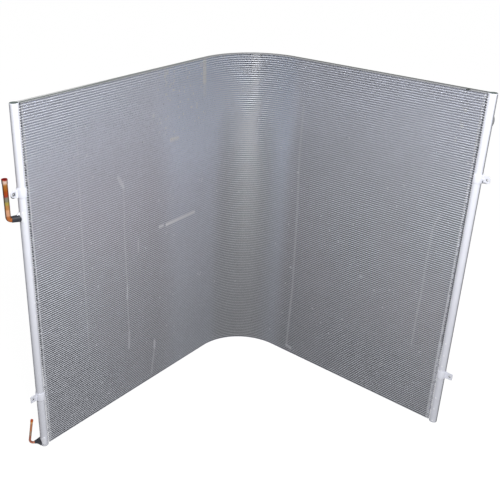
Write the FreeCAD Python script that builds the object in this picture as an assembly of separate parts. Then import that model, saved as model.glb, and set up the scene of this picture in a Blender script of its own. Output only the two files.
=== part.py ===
"""Microchannel condenser coil, bent once through a right angle.

Two legs and one bend carry a stack of flat aluminium tubes with corrugated fins between them. A round
header stands at each free end, a side plate covers the stack above and below, and the left header
carries a gas stub, a liquid stub and, inside, the baffle that sends the refrigerant through two passes.

Units are millimetres and +Z is up. The model is laid out from the corner where the middle planes of
the two legs would meet: the left leg runs along -X from there and the right leg along -Y, so the inner
face of the coil looks towards -X and -Y. The finished pieces are then moved so that the origin is in
the middle of the whole coil's box, at floor level.
"""
import FreeCAD, Part

import math
import os

# Stack of flat tubes and fin rows
TUBE_COUNT = 153
TUBE_DEPTH = 25.4
TUBE_THICKNESS = 1.6
FIN_HEIGHT = 7.5
FIN_SETBACK = 5.0
SIDE_PLATE_THICKNESS = 1.5

# Plan of the coil, measured along the middle plane of the stack
LEFT_LEG = 1208.0
RIGHT_LEG = 1081.0
BEND_RADIUS = 251.0
BEND_ANGLE = 90.0

# Headers
HEADER_OD = 32.0
HEADER_WALL = 2.0
TUBE_END = 8.0
BARE_TUBE = 5.0
SIDE_PLATE_GAP = 0.3
HEADER_FOOT = 7.0
HEADER_RISE = 1.5
CAP_LID = 3.0
CAP_EDGE = 2.0
CAP_SPIGOT = 5.0
BAFFLE_THICKNESS = 2.0
TUBES_BELOW_BAFFLE = 64

# Clearance that the brazing metal fills
BRAZE_GAP = 0.05

# Mounting brackets
BRACKET_HEIGHT = 34.0
BRACKET_WALL = 2.0
BRACKET_BACK_REACH = 60.0
BRACKET_TUBE_CLEARANCE = 1.0
BRACKET_LOWER_LEVEL = 236.0
BRACKET_SPACING = 856.0
EAR_THICKNESS = 3.0
EAR_HEIGHT = 30.0
EAR_REACH = 46.0
EAR_HOLE_REACH = 36.0
EAR_HOLE_D = 7.0
EAR_ROUND_CORNER = 12.0
EAR_SQUARE_CORNER = 4.0

# Fittings that join the copper pipes to the left header
SADDLE_WALL = 2.0
SADDLE_SPAN = 150.0
SPIGOT_INSIDE = 2.0
SLEEVE_WALL = 1.2
SOCKET_CLEARANCE = 0.1

GAS = {
    "level": 999.0,
    "turn": 15.0,
    "saddle_above": 24.0,
    "saddle_below": 18.0,
    "pipe_od": 19.05,
    "pipe_wall": 1.2,
    "boss_od": 22.4,
    "stub_end": 28.0,
    "sleeve_end": 40.5,
    "corner": 56.5,
    "bend_radius": 12.0,
    "bend_angle": 90.0,
    "leg": 151.0,
    "socket_depth": 15.0,
    "socket_shoulder": 4.0,
}

LIQUID = {
    "level": 15.0,
    "turn": 25.0,
    "saddle_above": 26.0,
    "saddle_below": 12.0,
    "pipe_od": 9.52,
    "pipe_wall": 0.9,
    "boss_od": 28.0,
    "stub_end": 30.0,
    "sleeve_end": 40.5,
    "corner": 60.0,
    "bend_radius": 16.5,
    "bend_angle": 99.2,
    "leg": 114.0,
    "socket_depth": 10.0,
    "socket_shoulder": 3.0,
}

# Levels and radii that follow from the sizes above
PITCH = TUBE_THICKNESS + FIN_HEIGHT
STACK_BOTTOM = SIDE_PLATE_THICKNESS
STACK_TOP = STACK_BOTTOM + TUBE_COUNT * PITCH + FIN_HEIGHT
COIL_HEIGHT = STACK_TOP + SIDE_PLATE_THICKNESS
HALF_DEPTH = TUBE_DEPTH / 2
HEADER_R = HEADER_OD / 2
BORE_R = HEADER_R - HEADER_WALL
FIN_END = HEADER_R + BARE_TUBE

X = FreeCAD.Vector(1, 0, 0)
Y = FreeCAD.Vector(0, 1, 0)
Z = FreeCAD.Vector(0, 0, 1)
ORIGIN = FreeCAD.Vector(0, 0, 0)


def vec(x, y, z):
    return FreeCAD.Vector(x, y, z)


def flat(points):
    """Face inside the closed outline through the points."""
    return Part.Face(Part.makePolygon(points + points[:1]))


def cylinder(radius, height, base, axis=Z):
    return Part.makeCylinder(radius, height, base, axis)


def turned(points, base=ORIGIN, axis=Z):
    """Solid turned about an axis from (radius, height) points on the +X side of it."""
    body = flat([vec(r, 0, h) for r, h in points]).revolve(ORIGIN, Z, 360)
    body.Placement = FreeCAD.Placement(base, FreeCAD.Rotation(Z, axis))
    return body


def sector(inner, outer, height, low, start, end):
    """Part of an upright ring between two angles, in degrees from +X, standing on the level low."""
    points = [vec(inner, 0, low), vec(outer, 0, low), vec(outer, 0, low + height), vec(inner, 0, low + height)]
    profile = flat(points).rotated(ORIGIN, Z, start)
    return profile.revolve(ORIGIN, Z, end - start)


def carried(face, steps):
    """Solid that a face leaves behind as it is carried through straight and turning steps.

    The walls left by its outlines are sewn to each other and to the face at both ends.
    """
    walls = [face]
    for kind, *how in steps:
        for outline in face.Wires:
            wall = outline.extrude(how[0]) if kind == "straight" else outline.revolve(*how)
            walls += wall.Faces
        face = face.translated(how[0]) if kind == "straight" else face.rotated(*how)
    shell = Part.Shell(walls + [face])
    shell.sewShape()
    body = Part.Solid(shell)
    if body.Volume < 0:
        body.reverse()
    return body


def tube_centre(index):
    """Height of a flat tube's middle, counted from 0 at the bottom."""
    return STACK_BOTTOM + FIN_HEIGHT + TUBE_THICKNESS / 2 + index * PITCH


def round_the_coil(outline, left_end, right_end):
    """Solid of one (depth, height) outline that follows the left leg, the bend and the right leg.

    Depth is counted outwards from the middle plane. The ends are distances from the header axes.
    """
    start_x = left_end - LEFT_LEG
    bend_centre = vec(-BEND_RADIUS, -BEND_RADIUS, 0)
    steps = [
        ("straight", vec(-BEND_RADIUS - start_x, 0, 0)),
        ("bend", bend_centre, Z, -BEND_ANGLE),
        ("straight", vec(0, right_end + BEND_RADIUS - RIGHT_LEG, 0)),
    ]
    return carried(flat([vec(start_x, depth, height) for depth, height in outline]), steps)


def at_left(shape):
    """Moves a piece laid out on the header axis to the left header."""
    return shape.translated(vec(-LEFT_LEG, 0, 0))


def at_right(shape):
    """Moves the mirror image of a left-hand piece to the right header."""
    return shape.mirror(ORIGIN, X - Y).translated(vec(0, -RIGHT_LEG, 0))


def core():
    """Tubes and fins as one brazed block, from which each flat tube stands out at both faces.

    The fins between the tubes are open to the air, so the block that stands for them is set back.
    """
    fin_line = HALF_DEPTH - FIN_SETBACK
    face = [(fin_line, STACK_BOTTOM)]
    for index in range(TUBE_COUNT):
        low = tube_centre(index) - TUBE_THICKNESS / 2
        high = low + TUBE_THICKNESS
        face += [(fin_line, low), (HALF_DEPTH, low), (HALF_DEPTH, high), (fin_line, high)]
    face.append((fin_line, STACK_TOP))
    other_face = [(-depth, height) for depth, height in reversed(face)]
    block = round_the_coil(face + other_face, FIN_END, FIN_END)
    return block.fuse([at_left(tube_ends()), at_right(tube_ends())])


def tube_ends(clearance=0.0):
    """Bare ends of all the tubes as one tongue, from the fins to inside the header."""
    low = tube_centre(0) - TUBE_THICKNESS / 2
    high = tube_centre(TUBE_COUNT - 1) + TUBE_THICKNESS / 2
    length = FIN_END - TUBE_END + clearance
    depth = TUBE_DEPTH + 2 * clearance
    corner = vec(TUBE_END - clearance, -depth / 2, low - clearance)
    return Part.makeBox(length, depth, high - low + 2 * clearance, corner)


def side_plate(low):
    """Flat strip that covers the stack from header to header."""
    end = HEADER_R + SIDE_PLATE_GAP
    high = low + SIDE_PLATE_THICKNESS
    outline = [(-HALF_DEPTH, low), (HALF_DEPTH, low), (HALF_DEPTH, high), (-HALF_DEPTH, high)]
    return round_the_coil(outline, end, end)


def header():
    """Round manifold tube with the slot for the tube ends towards +X."""
    length = HEADER_FOOT + COIL_HEIGHT + HEADER_RISE - 2 * CAP_LID
    base = vec(0, 0, CAP_LID - HEADER_FOOT)
    tube = cylinder(HEADER_R, length, base).cut(cylinder(BORE_R, length, base))
    return tube.cut(tube_ends(BRAZE_GAP))


def left_header():
    body = header()
    for stub in (GAS, LIQUID):
        hole = cylinder(stub["pipe_od"] / 2 + BRAZE_GAP, HEADER_OD, ORIGIN, X)
        body = body.cut(stub_place(hole, stub))
    return body


def bottom_cap():
    """Plug with a bevelled lid and a spigot that fits the header's bore, as a foot below the side plate."""
    spigot_r = BORE_R - BRAZE_GAP
    top = CAP_LID + CAP_SPIGOT
    points = [
        (0, 0),
        (HEADER_R - CAP_EDGE, 0),
        (HEADER_R, CAP_EDGE),
        (HEADER_R, CAP_LID),
        (spigot_r, CAP_LID),
        (spigot_r, top),
        (0, top),
    ]
    return turned(points, vec(0, 0, -HEADER_FOOT))


def top_cap():
    middle = (COIL_HEIGHT + HEADER_RISE - HEADER_FOOT) / 2
    return bottom_cap().mirror(vec(0, 0, middle), Z)


def baffle():
    """Disc across the left header between two passes, cut flat where it meets the tube ends."""
    level = tube_centre(TUBES_BELOW_BAFFLE) - PITCH / 2
    low = level - BAFFLE_THICKNESS / 2
    disc = cylinder(BORE_R - BRAZE_GAP, BAFFLE_THICKNESS, vec(0, 0, low))
    return disc.cut(tube_ends(BRAZE_GAP))


def bracket(corner_radius):
    """Clip that wraps round the header, with a flat ear that points away from the fins."""
    inner = HEADER_R + BRAZE_GAP
    low = BRACKET_LOWER_LEVEL - BRACKET_HEIGHT / 2
    clip = sector(inner, inner + BRACKET_WALL, BRACKET_HEIGHT, low, 180 - BRACKET_BACK_REACH, 360)
    tube_side = -HALF_DEPTH - BRACKET_TUBE_CLEARANCE
    clip = clip.cut(Part.makeBox(HEADER_OD, HEADER_OD, BRACKET_HEIGHT, vec(0, tube_side, low)))
    ear_low = BRACKET_LOWER_LEVEL - EAR_HEIGHT / 2
    ear = Part.makeBox(EAR_REACH - inner, EAR_THICKNESS, EAR_HEIGHT, vec(-EAR_REACH, -EAR_THICKNESS / 2, ear_low))
    outer_corners = [edge for edge in ear.Edges if is_ear_corner(edge)]
    ear = ear.makeFillet(corner_radius, outer_corners)
    hole_start = vec(-EAR_HOLE_REACH, -EAR_THICKNESS, BRACKET_LOWER_LEVEL)
    ear = ear.cut(cylinder(EAR_HOLE_D / 2, 2 * EAR_THICKNESS, hole_start, Y))
    return clip.fuse(ear).cut(cylinder(inner, COIL_HEIGHT, ORIGIN))


def is_ear_corner(edge):
    ends = [vertex.Point for vertex in edge.Vertexes]
    return all(abs(p.x + EAR_REACH) < 1e-6 for p in ends) and abs(ends[0].z - ends[1].z) < 1e-6


def upper(shape):
    """Moves a lower bracket to the upper level."""
    return shape.translated(vec(0, 0, BRACKET_SPACING))


def stub_place(shape, stub):
    """Moves a piece laid out along +X to its stub, turned away from the line of the left leg."""
    turned_shape = shape.rotated(ORIGIN, Z, 180 - stub["turn"])
    return turned_shape.translated(vec(0, 0, stub["level"]))


def boss_taper(stub, growth):
    """(radius, distance) points of the boss from the header's middle to the pipe's size."""
    return [
        (stub["boss_od"] / 2 + growth, 0),
        (stub["boss_od"] / 2 + growth, HEADER_R),
        (stub["pipe_od"] / 2 + growth, stub["stub_end"]),
    ]


def fitting(stub):
    """Aluminium saddle brazed on the header, with a tapered boss and a spigot through the wall."""
    inner = HEADER_R + BRAZE_GAP
    outer = inner + SADDLE_WALL
    half = SADDLE_SPAN / 2
    below = stub["saddle_below"]
    saddle = sector(inner, outer, below + stub["saddle_above"], -below, -half, half)
    end = stub["stub_end"]
    boss = turned([(0, 0)] + boss_taper(stub, 0) + [(0, end)], ORIGIN, X)
    boss = boss.cut(cylinder(inner, 4 * HEADER_OD, vec(0, 0, -2 * HEADER_OD)))
    pipe_r = stub["pipe_od"] / 2
    start = BORE_R - SPIGOT_INSIDE
    spigot = cylinder(pipe_r, end - start, vec(start, 0, 0), X)
    bore = cylinder(pipe_r - stub["pipe_wall"], end, ORIGIN, X)
    return saddle.fuse([boss, spigot]).cut(bore)


def sleeve(stub):
    """Heat-shrink sleeve over the joint of the boss and the copper pipe."""
    inner = boss_taper(stub, BRAZE_GAP)
    outer = boss_taper(stub, BRAZE_GAP + SLEEVE_WALL)
    end = stub["sleeve_end"]
    inner.append((inner[-1][0], end))
    outer.append((outer[-1][0], end))
    body = turned(inner + outer[::-1], ORIGIN, X)
    saddle_face = HEADER_R + SADDLE_WALL + 2 * BRAZE_GAP
    return body.cut(cylinder(saddle_face, 4 * HEADER_OD, vec(0, 0, -2 * HEADER_OD)))


def copper_pipe(stub):
    """Copper elbow from the stub's end round to the open leg with its swaged socket."""
    pipe_r = stub["pipe_od"] / 2
    bore_r = pipe_r - stub["pipe_wall"]
    angle = stub["bend_angle"]
    tangent = stub["bend_radius"] * math.tan(math.radians(angle / 2))
    start = stub["stub_end"] + BRAZE_GAP
    bend_start = stub["corner"] - tangent
    circle = Part.makeCircle(pipe_r, vec(start, 0, 0), X)
    hole = Part.makeCircle(bore_r, vec(start, 0, 0), X)
    ring = Part.Face([Part.Wire([circle]), Part.Wire([hole])])
    centre = vec(bend_start, 0, stub["bend_radius"])
    run = carried(ring, [("straight", vec(bend_start - start, 0, 0)), ("bend", centre, Y, -angle)])
    rise = vec(math.cos(math.radians(angle)), 0, math.sin(math.radians(angle)))
    leg_base = vec(stub["corner"], 0, 0) + rise * tangent
    return run.fuse(socket_leg(stub, pipe_r, bore_r, stub["leg"] - tangent, leg_base, rise))


def socket_leg(stub, pipe_r, bore_r, length, base, axis):
    """Straight leg whose open end is widened to take a pipe of the same size."""
    socket_bore = pipe_r + SOCKET_CLEARANCE
    socket_r = socket_bore + stub["pipe_wall"]
    socket_start = length - stub["socket_depth"]
    shoulder_start = socket_start - stub["socket_shoulder"]
    points = [
        (bore_r, 0),
        (pipe_r, 0),
        (pipe_r, shoulder_start),
        (socket_r, socket_start),
        (socket_r, length),
        (socket_bore, length),
        (socket_bore, socket_start),
        (bore_r, shoulder_start),
    ]
    return turned(points, base, axis)


def pieces():
    """Every sub-part by its name, in the layout frame."""
    lower_bracket = bracket(EAR_SQUARE_CORNER)
    upper_bracket = upper(bracket(EAR_ROUND_CORNER))
    return {
        "core": core(),
        "top_side_plate": side_plate(STACK_TOP),
        "bottom_side_plate": side_plate(0),
        "left_header": at_left(left_header()),
        "right_header": at_right(header()),
        "left_header_bottom_cap": at_left(bottom_cap()),
        "left_header_top_cap": at_left(top_cap()),
        "right_header_bottom_cap": at_right(bottom_cap()),
        "right_header_top_cap": at_right(top_cap()),
        "baffle": at_left(baffle()),
        "upper_left_bracket": at_left(upper_bracket),
        "lower_left_bracket": at_left(lower_bracket),
        "upper_right_bracket": at_right(upper_bracket),
        "lower_right_bracket": at_right(lower_bracket),
        "gas_fitting": at_left(stub_place(fitting(GAS), GAS)),
        "gas_sleeve": at_left(stub_place(sleeve(GAS), GAS)),
        "gas_pipe": at_left(stub_place(copper_pipe(GAS), GAS)),
        "liquid_fitting": at_left(stub_place(fitting(LIQUID), LIQUID)),
        "liquid_sleeve": at_left(stub_place(sleeve(LIQUID), LIQUID)),
        "liquid_pipe": at_left(stub_place(copper_pipe(LIQUID), LIQUID)),
    }


def main():
    parts = pieces()
    box = Part.makeCompound(list(parts.values())).BoundBox
    shift = vec(-box.Center.x, -box.Center.y, -box.ZMin)
    os.makedirs("parts", exist_ok=True)
    for name, shape in parts.items():
        shape.translated(shift).exportStep(os.path.join("parts", name + ".step"))
    print("layout corner is at", round(shift.x, 3), round(shift.y, 3), round(shift.z, 3))


main()
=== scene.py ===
import logging
import math
from collections.abc import Callable
from dataclasses import dataclass, field
from enum import Enum

import bpy
import numpy as np
from mathutils import Matrix, Vector


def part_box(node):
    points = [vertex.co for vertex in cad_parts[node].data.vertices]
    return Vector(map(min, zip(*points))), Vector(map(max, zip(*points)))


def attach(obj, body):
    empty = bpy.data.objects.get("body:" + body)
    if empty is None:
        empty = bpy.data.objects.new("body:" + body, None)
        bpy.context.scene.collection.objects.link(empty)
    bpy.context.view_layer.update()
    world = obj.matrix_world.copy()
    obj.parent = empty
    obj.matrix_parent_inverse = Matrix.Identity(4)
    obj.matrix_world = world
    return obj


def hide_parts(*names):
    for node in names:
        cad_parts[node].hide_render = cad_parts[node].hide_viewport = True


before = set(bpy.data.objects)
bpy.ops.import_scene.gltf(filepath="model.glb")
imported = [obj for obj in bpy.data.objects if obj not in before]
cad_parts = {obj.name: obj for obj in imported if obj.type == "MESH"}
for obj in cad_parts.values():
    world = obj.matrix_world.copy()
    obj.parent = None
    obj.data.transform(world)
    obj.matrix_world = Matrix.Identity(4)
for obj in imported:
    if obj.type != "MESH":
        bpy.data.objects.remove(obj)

# Looks of an L-bent microchannel condenser coil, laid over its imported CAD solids. Flat tubes and
# corrugated fins follow the coil's plan between two round headers with caps, brackets and copper stubs.

LOG = logging.getLogger("coil")
MM = 0.001
SEED = 11
Array = np.ndarray
Span = tuple[float, float]
Triple = tuple[float, float, float]
Zone = tuple[float, float, float, float]
Colour = Triple

# Plan and stack of the coil, as the part's source has them
BEND_RADIUS = 251.0 * MM
TUBE_COUNT = 153
TUBE_THICKNESS = 1.6 * MM
FIN_HEIGHT = 7.5 * MM
PITCH = TUBE_THICKNESS + FIN_HEIGHT
PLATE_THICKNESS = 1.5 * MM
HEADER_WALL = 2.0 * MM
TUBE_END = 8.0 * MM
CLEARANCE = 0.05 * MM
ROW_MARGIN = 0.04

# Camera fitted to the photograph: place from the coil's outer corner at the lower side plate
CAMERA_OFFSET = (-2579.319 * MM, -1999.359 * MM, 2063.589 * MM)
CAMERA_YAW = 42.57622
CAMERA_PITCH = 24.83413
CAMERA_ROLL = -0.34690
FOCAL_PIXELS = 742.970
PRINCIPAL_PIXEL = (180.907, 222.955)
FRAME_PIXELS = 500
SENSOR_MM = 36.0

# Directions fixed to the coil that tops, the headers' limbs and the pipes' flanks face, where shade and
# highlights are painted
UPWARDS = (0.0, 0.0, 1.0)
LEFT_LIMB = (-0.81, 0.585, 0.0)
RIGHT_LIMB = (0.34, -0.94, 0.0)
PIPE_FLANK = (-0.68, 0.73, 0.0)


def smooth(values: Array, low: float, high: float) -> Array:
    """Fades from 0 at low to 1 at high by t * t * (3 - 2 t), with t the clipped fraction between them.

    Args:
        values: Numbers to fade.
        low: Value where the fade begins.
        high: Value where the fade ends.

    Returns:
        Array of fractions from 0 to 1.
    """
    fraction = np.clip((values - low) / (high - low), 0.0, 1.0)
    return fraction * fraction * (3.0 - 2.0 * fraction)


def turned_xy(points: Array, degrees: float) -> Array:
    """Turns points about the upright axis: x' = x cos a - y sin a, y' = x sin a + y cos a.

    Args:
        points: Array whose last axis is x, y, z.
        degrees: Angle, counter-clockwise from above.

    Returns:
        Turned copy of the points.
    """
    cos, sin = math.cos(math.radians(degrees)), math.sin(math.radians(degrees))
    result = points.copy()
    result[..., 0] = points[..., 0] * cos - points[..., 1] * sin
    result[..., 1] = points[..., 0] * sin + points[..., 1] * cos
    return result


def around(radius: Array, angle: Array, level: Array) -> Array:
    """Points about the upright axis: (r cos a, r sin a, z), over the arguments' common shape."""
    return np.stack(np.broadcast_arrays(radius * np.cos(angle), radius * np.sin(angle), level), axis=-1)


def paired(first: Array, second: Array) -> Array:
    """Map with one pair of coordinates for each point of the arguments' common shape."""
    return np.stack(np.broadcast_arrays(first, second), axis=-1).reshape(-1, 2)


def stacked(count: int, across: Array) -> Array:
    """Share of a stack of n rows up to a point of row i: (i + m + (1 - 2 m) c) / n, with a margin m."""
    return (np.arange(count)[:, None, None] + ROW_MARGIN + (1 - 2 * ROW_MARGIN) * across) / count


class Side(Enum):
    """Which end of the coil a piece belongs to."""

    LEFT = "left"
    RIGHT = "right"


@dataclass(frozen=True)
class Layout:
    """Places of the coil, read from the boxes of its CAD nodes."""

    corner: Span
    left_leg: float
    right_leg: float
    half_depth: float
    header_radius: float
    floor: float
    ceiling: float
    header_low: float
    header_high: float

    @classmethod
    def read(cls) -> "Layout":
        """Reads the layout from the frame: legs meet where the middle planes of the core's legs cross.

        Returns:
            The layout.
        """
        core_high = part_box("core")[1]
        left_low, left_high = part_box("left_header")
        right_low, right_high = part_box("right_header")
        left_axis = (left_low + left_high) / 2
        right_axis = (right_low + right_high) / 2
        half_depth = core_high.y - left_axis.y
        corner = (core_high.x - half_depth, core_high.y - half_depth)
        return cls(
            corner=corner,
            left_leg=corner[0] - left_axis.x,
            right_leg=corner[1] - right_axis.y,
            half_depth=half_depth,
            header_radius=(left_high.y - left_low.y) / 2,
            floor=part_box("bottom_side_plate")[0].z,
            ceiling=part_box("top_side_plate")[1].z,
            header_low=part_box("left_header_bottom_cap")[0].z,
            header_high=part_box("left_header_top_cap")[1].z,
        )

    @property
    def length(self) -> float:
        """Length of the middle line from header axis to header axis."""
        return self.left_leg + self.right_leg - 2 * BEND_RADIUS + BEND_RADIUS * math.pi / 2

    @property
    def straight(self) -> float:
        """Distance from the left header axis to the start of the bend."""
        return self.left_leg - BEND_RADIUS

    def axis(self, side: Side) -> Span:
        """Plan place of a header's axis.

        Args:
            side: Which header.

        Returns:
            Its x and y.
        """
        if side is Side.LEFT:
            return self.corner[0] - self.left_leg, self.corner[1]
        return self.corner[0], self.corner[1] - self.right_leg

    def stations(self, start: float, end: float, arc_steps: int) -> Array:
        """Distances along the middle line that its straight runs and evenly divided bend need.

        Args:
            start: First distance from the left header axis.
            end: Distance of the last station from the right header axis.
            arc_steps: Number of steps round the bend.

        Returns:
            Rising array of distances.
        """
        arc = np.linspace(self.straight, self.straight + BEND_RADIUS * math.pi / 2, arc_steps + 1)
        return np.concatenate([[start], arc, [self.length - end]])

    def follow(self, along: Array, outwards: Array, height: Array) -> Array:
        """Places points along the coil: P = C + (R + d)(sin t, cos t) plus the straight runs.

        The turn t is the distance past the first run over R, clipped to a quarter turn, and C the
        bend's centre.

        Args:
            along: Distances from the left header axis along the middle line.
            outwards: Distances from the middle line, positive towards the outer face.
            height: Levels.

        Returns:
            Array of x, y, z points, of the arguments' common shape.
        """
        along, outwards, height = np.broadcast_arrays(along, outwards, height)
        past = along - self.straight
        turn = np.clip(past / BEND_RADIUS, 0.0, math.pi / 2)
        before = np.minimum(past, 0.0)
        after = np.maximum(past - BEND_RADIUS * math.pi / 2, 0.0)
        x = self.corner[0] - BEND_RADIUS + (BEND_RADIUS + outwards) * np.sin(turn) + before
        y = self.corner[1] - BEND_RADIUS + (BEND_RADIUS + outwards) * np.cos(turn) - after
        return np.stack([x, y, height], axis=-1)

    def tube_level(self, index: Array) -> Array:
        """Height of each flat tube's middle."""
        return self.floor + PLATE_THICKNESS + FIN_HEIGHT + TUBE_THICKNESS / 2 + index * PITCH

    def beside(self, points: Array, side: Side) -> Array:
        """Moves points laid out on a header's axis with the coil towards +x to that header.

        The right header takes the mirror image through the line x = y.

        Args:
            points: Array whose last axis is x, y, z.
            side: Which header.

        Returns:
            Moved copy of the points.
        """
        x, y = self.axis(side)
        if side is Side.RIGHT:
            points = points[..., [1, 0, 2]]
        return points + np.array([x, y, 0.0])


@dataclass
class Shape:
    """Vertices and faces worked out as whole arrays, joined piece by piece before they become a mesh."""

    points: Array
    faces: list[Array]
    maps: dict[str, Array] = field(default_factory=dict)
    marks: dict[str, Array] = field(default_factory=dict)

    @classmethod
    def grid(
        cls, points: Array, close_u: bool = False, close_v: bool = False, caps: bool = False
    ) -> "Shape":
        """Turns a (u, v) grid of points into quads, wound so that u across v points outwards.

        Args:
            points: Array of shape (u, v, 3).
            close_u: Whether the last row joins the first.
            close_v: Whether the last column joins the first.
            caps: Whether the first and last rows are closed by one face each.

        Returns:
            The shape.
        """
        rows, columns = points.shape[:2]
        number = np.arange(rows * columns).reshape(rows, columns)
        if close_u:
            number = np.concatenate([number, number[:1]], axis=0)
        if close_v:
            number = np.concatenate([number, number[:, :1]], axis=1)
        corners = [number[:-1, :-1], number[1:, :-1], number[1:, 1:], number[:-1, 1:]]
        faces = [np.stack(corners, axis=-1).reshape(-1, 4)]
        if caps:
            last = np.arange((rows - 1) * columns, rows * columns)
            faces += [np.arange(columns)[None, :], last[None, ::-1]]
        return cls(points.reshape(-1, 3), faces)

    @classmethod
    def copies(cls, points: Array, **closing: bool) -> "Shape":
        """Grid shapes for a stack of equal grids.

        Args:
            points: Array of shape (copies, u, v, 3).
            **closing: Options for each grid.

        Returns:
            All of the copies as one shape.
        """
        first = cls.grid(points[0], **closing)
        step = (np.arange(len(points)) * len(first.points))[:, None, None]
        faces = [(block[None] + step).reshape(-1, block.shape[1]) for block in first.faces]
        return cls(points.reshape(-1, 3), faces)

    @classmethod
    def joined(cls, shapes: list["Shape"]) -> "Shape":
        """One shape of several, whose faces keep their own vertices and marks.

        Args:
            shapes: The shapes; one without a mark that another has takes 0 for it.

        Returns:
            The joined shape.
        """
        faces: list[Array] = []
        start = 0
        for shape in shapes:
            faces += [block + start for block in shape.faces]
            start += len(shape.points)
        titles = {title for shape in shapes for title in shape.marks}
        marks = {
            title: np.concatenate([shape.marks.get(title, np.zeros(len(shape.points))) for shape in shapes])
            for title in sorted(titles)
        }
        return cls(np.concatenate([shape.points for shape in shapes]), faces, marks=marks)

    def turned_over(self) -> "Shape":
        """The same shape with its faces wound the other way."""
        return Shape(self.points, [block[:, ::-1] for block in self.faces], self.maps, self.marks)

    def moved(self, layout: Layout, side: Side) -> "Shape":
        """The shape beside its header, with the mirrored one's faces turned over to point outwards."""
        result = Shape(layout.beside(self.points, side), self.faces, self.maps, self.marks)
        return result.turned_over() if side is Side.RIGHT else result

    def build(self, name: str, sharp: float = 35.0) -> bpy.types.Object:
        """Writes the arrays into a new mesh object at the origin.

        Args:
            name: Name of the piece.
            sharp: Angle in degrees above which an edge stays sharp.

        Returns:
            The object, linked to the scene and riding on the coil's only body.
        """
        mesh = bpy.data.meshes.new(name)
        corners = np.concatenate([block.reshape(-1) for block in self.faces])
        sizes = np.concatenate([np.full(len(block), block.shape[1]) for block in self.faces])
        mesh.vertices.add(len(self.points))
        mesh.loops.add(len(corners))
        mesh.polygons.add(len(sizes))
        mesh.vertices.foreach_set("co", self.points.astype(np.float32).ravel())
        mesh.loops.foreach_set("vertex_index", corners.astype(np.int32))
        mesh.polygons.foreach_set("loop_start", (np.cumsum(sizes) - sizes).astype(np.int32))
        for title, values in self.maps.items():
            layer = mesh.uv_layers.new(name=title)
            layer.data.foreach_set("uv", values[corners].astype(np.float32).ravel())
        for title, values in self.marks.items():
            attribute = mesh.attributes.new(title, "FLOAT", "POINT")
            attribute.data.foreach_set("value", values.astype(np.float32))
        mesh.update(calc_edges=True)
        mesh.validate()
        mesh.shade_smooth()
        mesh.set_sharp_from_angle(angle=math.radians(sharp))
        piece = bpy.data.objects.new(name, mesh)
        bpy.context.scene.collection.objects.link(piece)
        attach(piece, "root")
        LOG.info("%s: %d vertices, %d faces", name, len(mesh.vertices), len(mesh.polygons))
        return piece


def turned_profile(radius: Array, level: Array, steps: int) -> Array:
    """Grid of a profile turned about the upright axis: (r cos a, r sin a, z), with a over a full turn.

    Args:
        radius: Distances from the axis, in order along the profile.
        level: Heights of the same points.
        steps: Number of steps round the axis.

    Returns:
        Array of shape (steps, profile points, 3).
    """
    angle = np.arange(steps)[:, None] * 2 * math.pi / steps
    return around(radius[None], angle, level)


def rounded_rectangle(half_width: float, half_height: float, corner: float, steps: int) -> Array:
    """Outline of a rectangle with round corners, counter-clockwise, by quarter circles at its four corners.

    Args:
        half_width: Half of the size along the first axis.
        half_height: Half of the size along the second axis.
        corner: Radius of the corners.
        steps: Points on each quarter circle.

    Returns:
        Array of shape (4 * steps, 2).
    """
    angle = (np.arange(4)[:, None] * math.pi / 2 + np.linspace(0, math.pi / 2, steps)[None]).ravel()
    sign_x = np.repeat([1, -1, -1, 1], steps)
    sign_y = np.repeat([1, 1, -1, -1], steps)
    x = sign_x * (half_width - corner) + corner * np.cos(angle)
    y = sign_y * (half_height - corner) + corner * np.sin(angle)
    return np.stack([x, y], axis=-1)


def operator(operation: str, swapped: bool = False) -> Callable[["Wire", "Wire | float"], "Wire"]:
    """Makes a method of Wire that adds one Math node.

    Args:
        operation: The node's operation.
        swapped: Whether the other value comes first.

    Returns:
        The method, which takes the other value.
    """

    def apply(wire: "Wire", other: "Wire | float") -> "Wire":
        """The operation's result for this value and another."""
        first, second = (other, wire) if swapped else (wire, other)
        return wire.maths(operation, first, second)

    return apply


@dataclass(frozen=True)
class Wire:
    """Value inside a material, on which Python's operators add Math nodes."""

    book: "NodeBook"
    socket: bpy.types.NodeSocket

    def maths(self, operation: str, first: "Wire | float", second: "Wire | float" = 0.0) -> "Wire":
        """Adds one Math node.

        Args:
            operation: The node's operation.
            first: Its first value.
            second: Its second value.

        Returns:
            The node's result.
        """
        return self.book.node("ShaderNodeMath", {"operation": operation}, {0: first, 1: second})

    __add__ = operator("ADD")
    __radd__ = operator("ADD", swapped=True)
    __sub__ = operator("SUBTRACT")
    __rsub__ = operator("SUBTRACT", swapped=True)
    __mul__ = operator("MULTIPLY")
    __rmul__ = operator("MULTIPLY", swapped=True)
    __truediv__ = operator("DIVIDE")
    __pow__ = operator("POWER")
    high = operator("MAXIMUM")
    low = operator("MINIMUM")

    def wave(self) -> "Wire":
        """Sine of this value."""
        return self.maths("SINE", self)

    def fade(self, start: float, end: float) -> "Wire":
        """Smooth step from 0 at start to 1 at end, clipped outside them.

        Args:
            start: Value with the result 0.
            end: Value with the result 1, which may be the smaller one.

        Returns:
            The node's result.
        """
        settings = {"interpolation_type": "SMOOTHSTEP"}
        values = {"Value": self, "From Min": start, "From Max": end, "To Min": 0.0, "To Max": 1.0}
        if start > end:
            values.update({"From Min": end, "From Max": start, "To Min": 1.0, "To Max": 0.0})
        return self.book.node("ShaderNodeMapRange", settings, values)

    def within(self, zone: Zone) -> "Wire":
        """1 inside a zone, faded in between its first two places and out between its last two."""
        return self.fade(zone[0], zone[1]) * self.fade(zone[3], zone[2])


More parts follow.
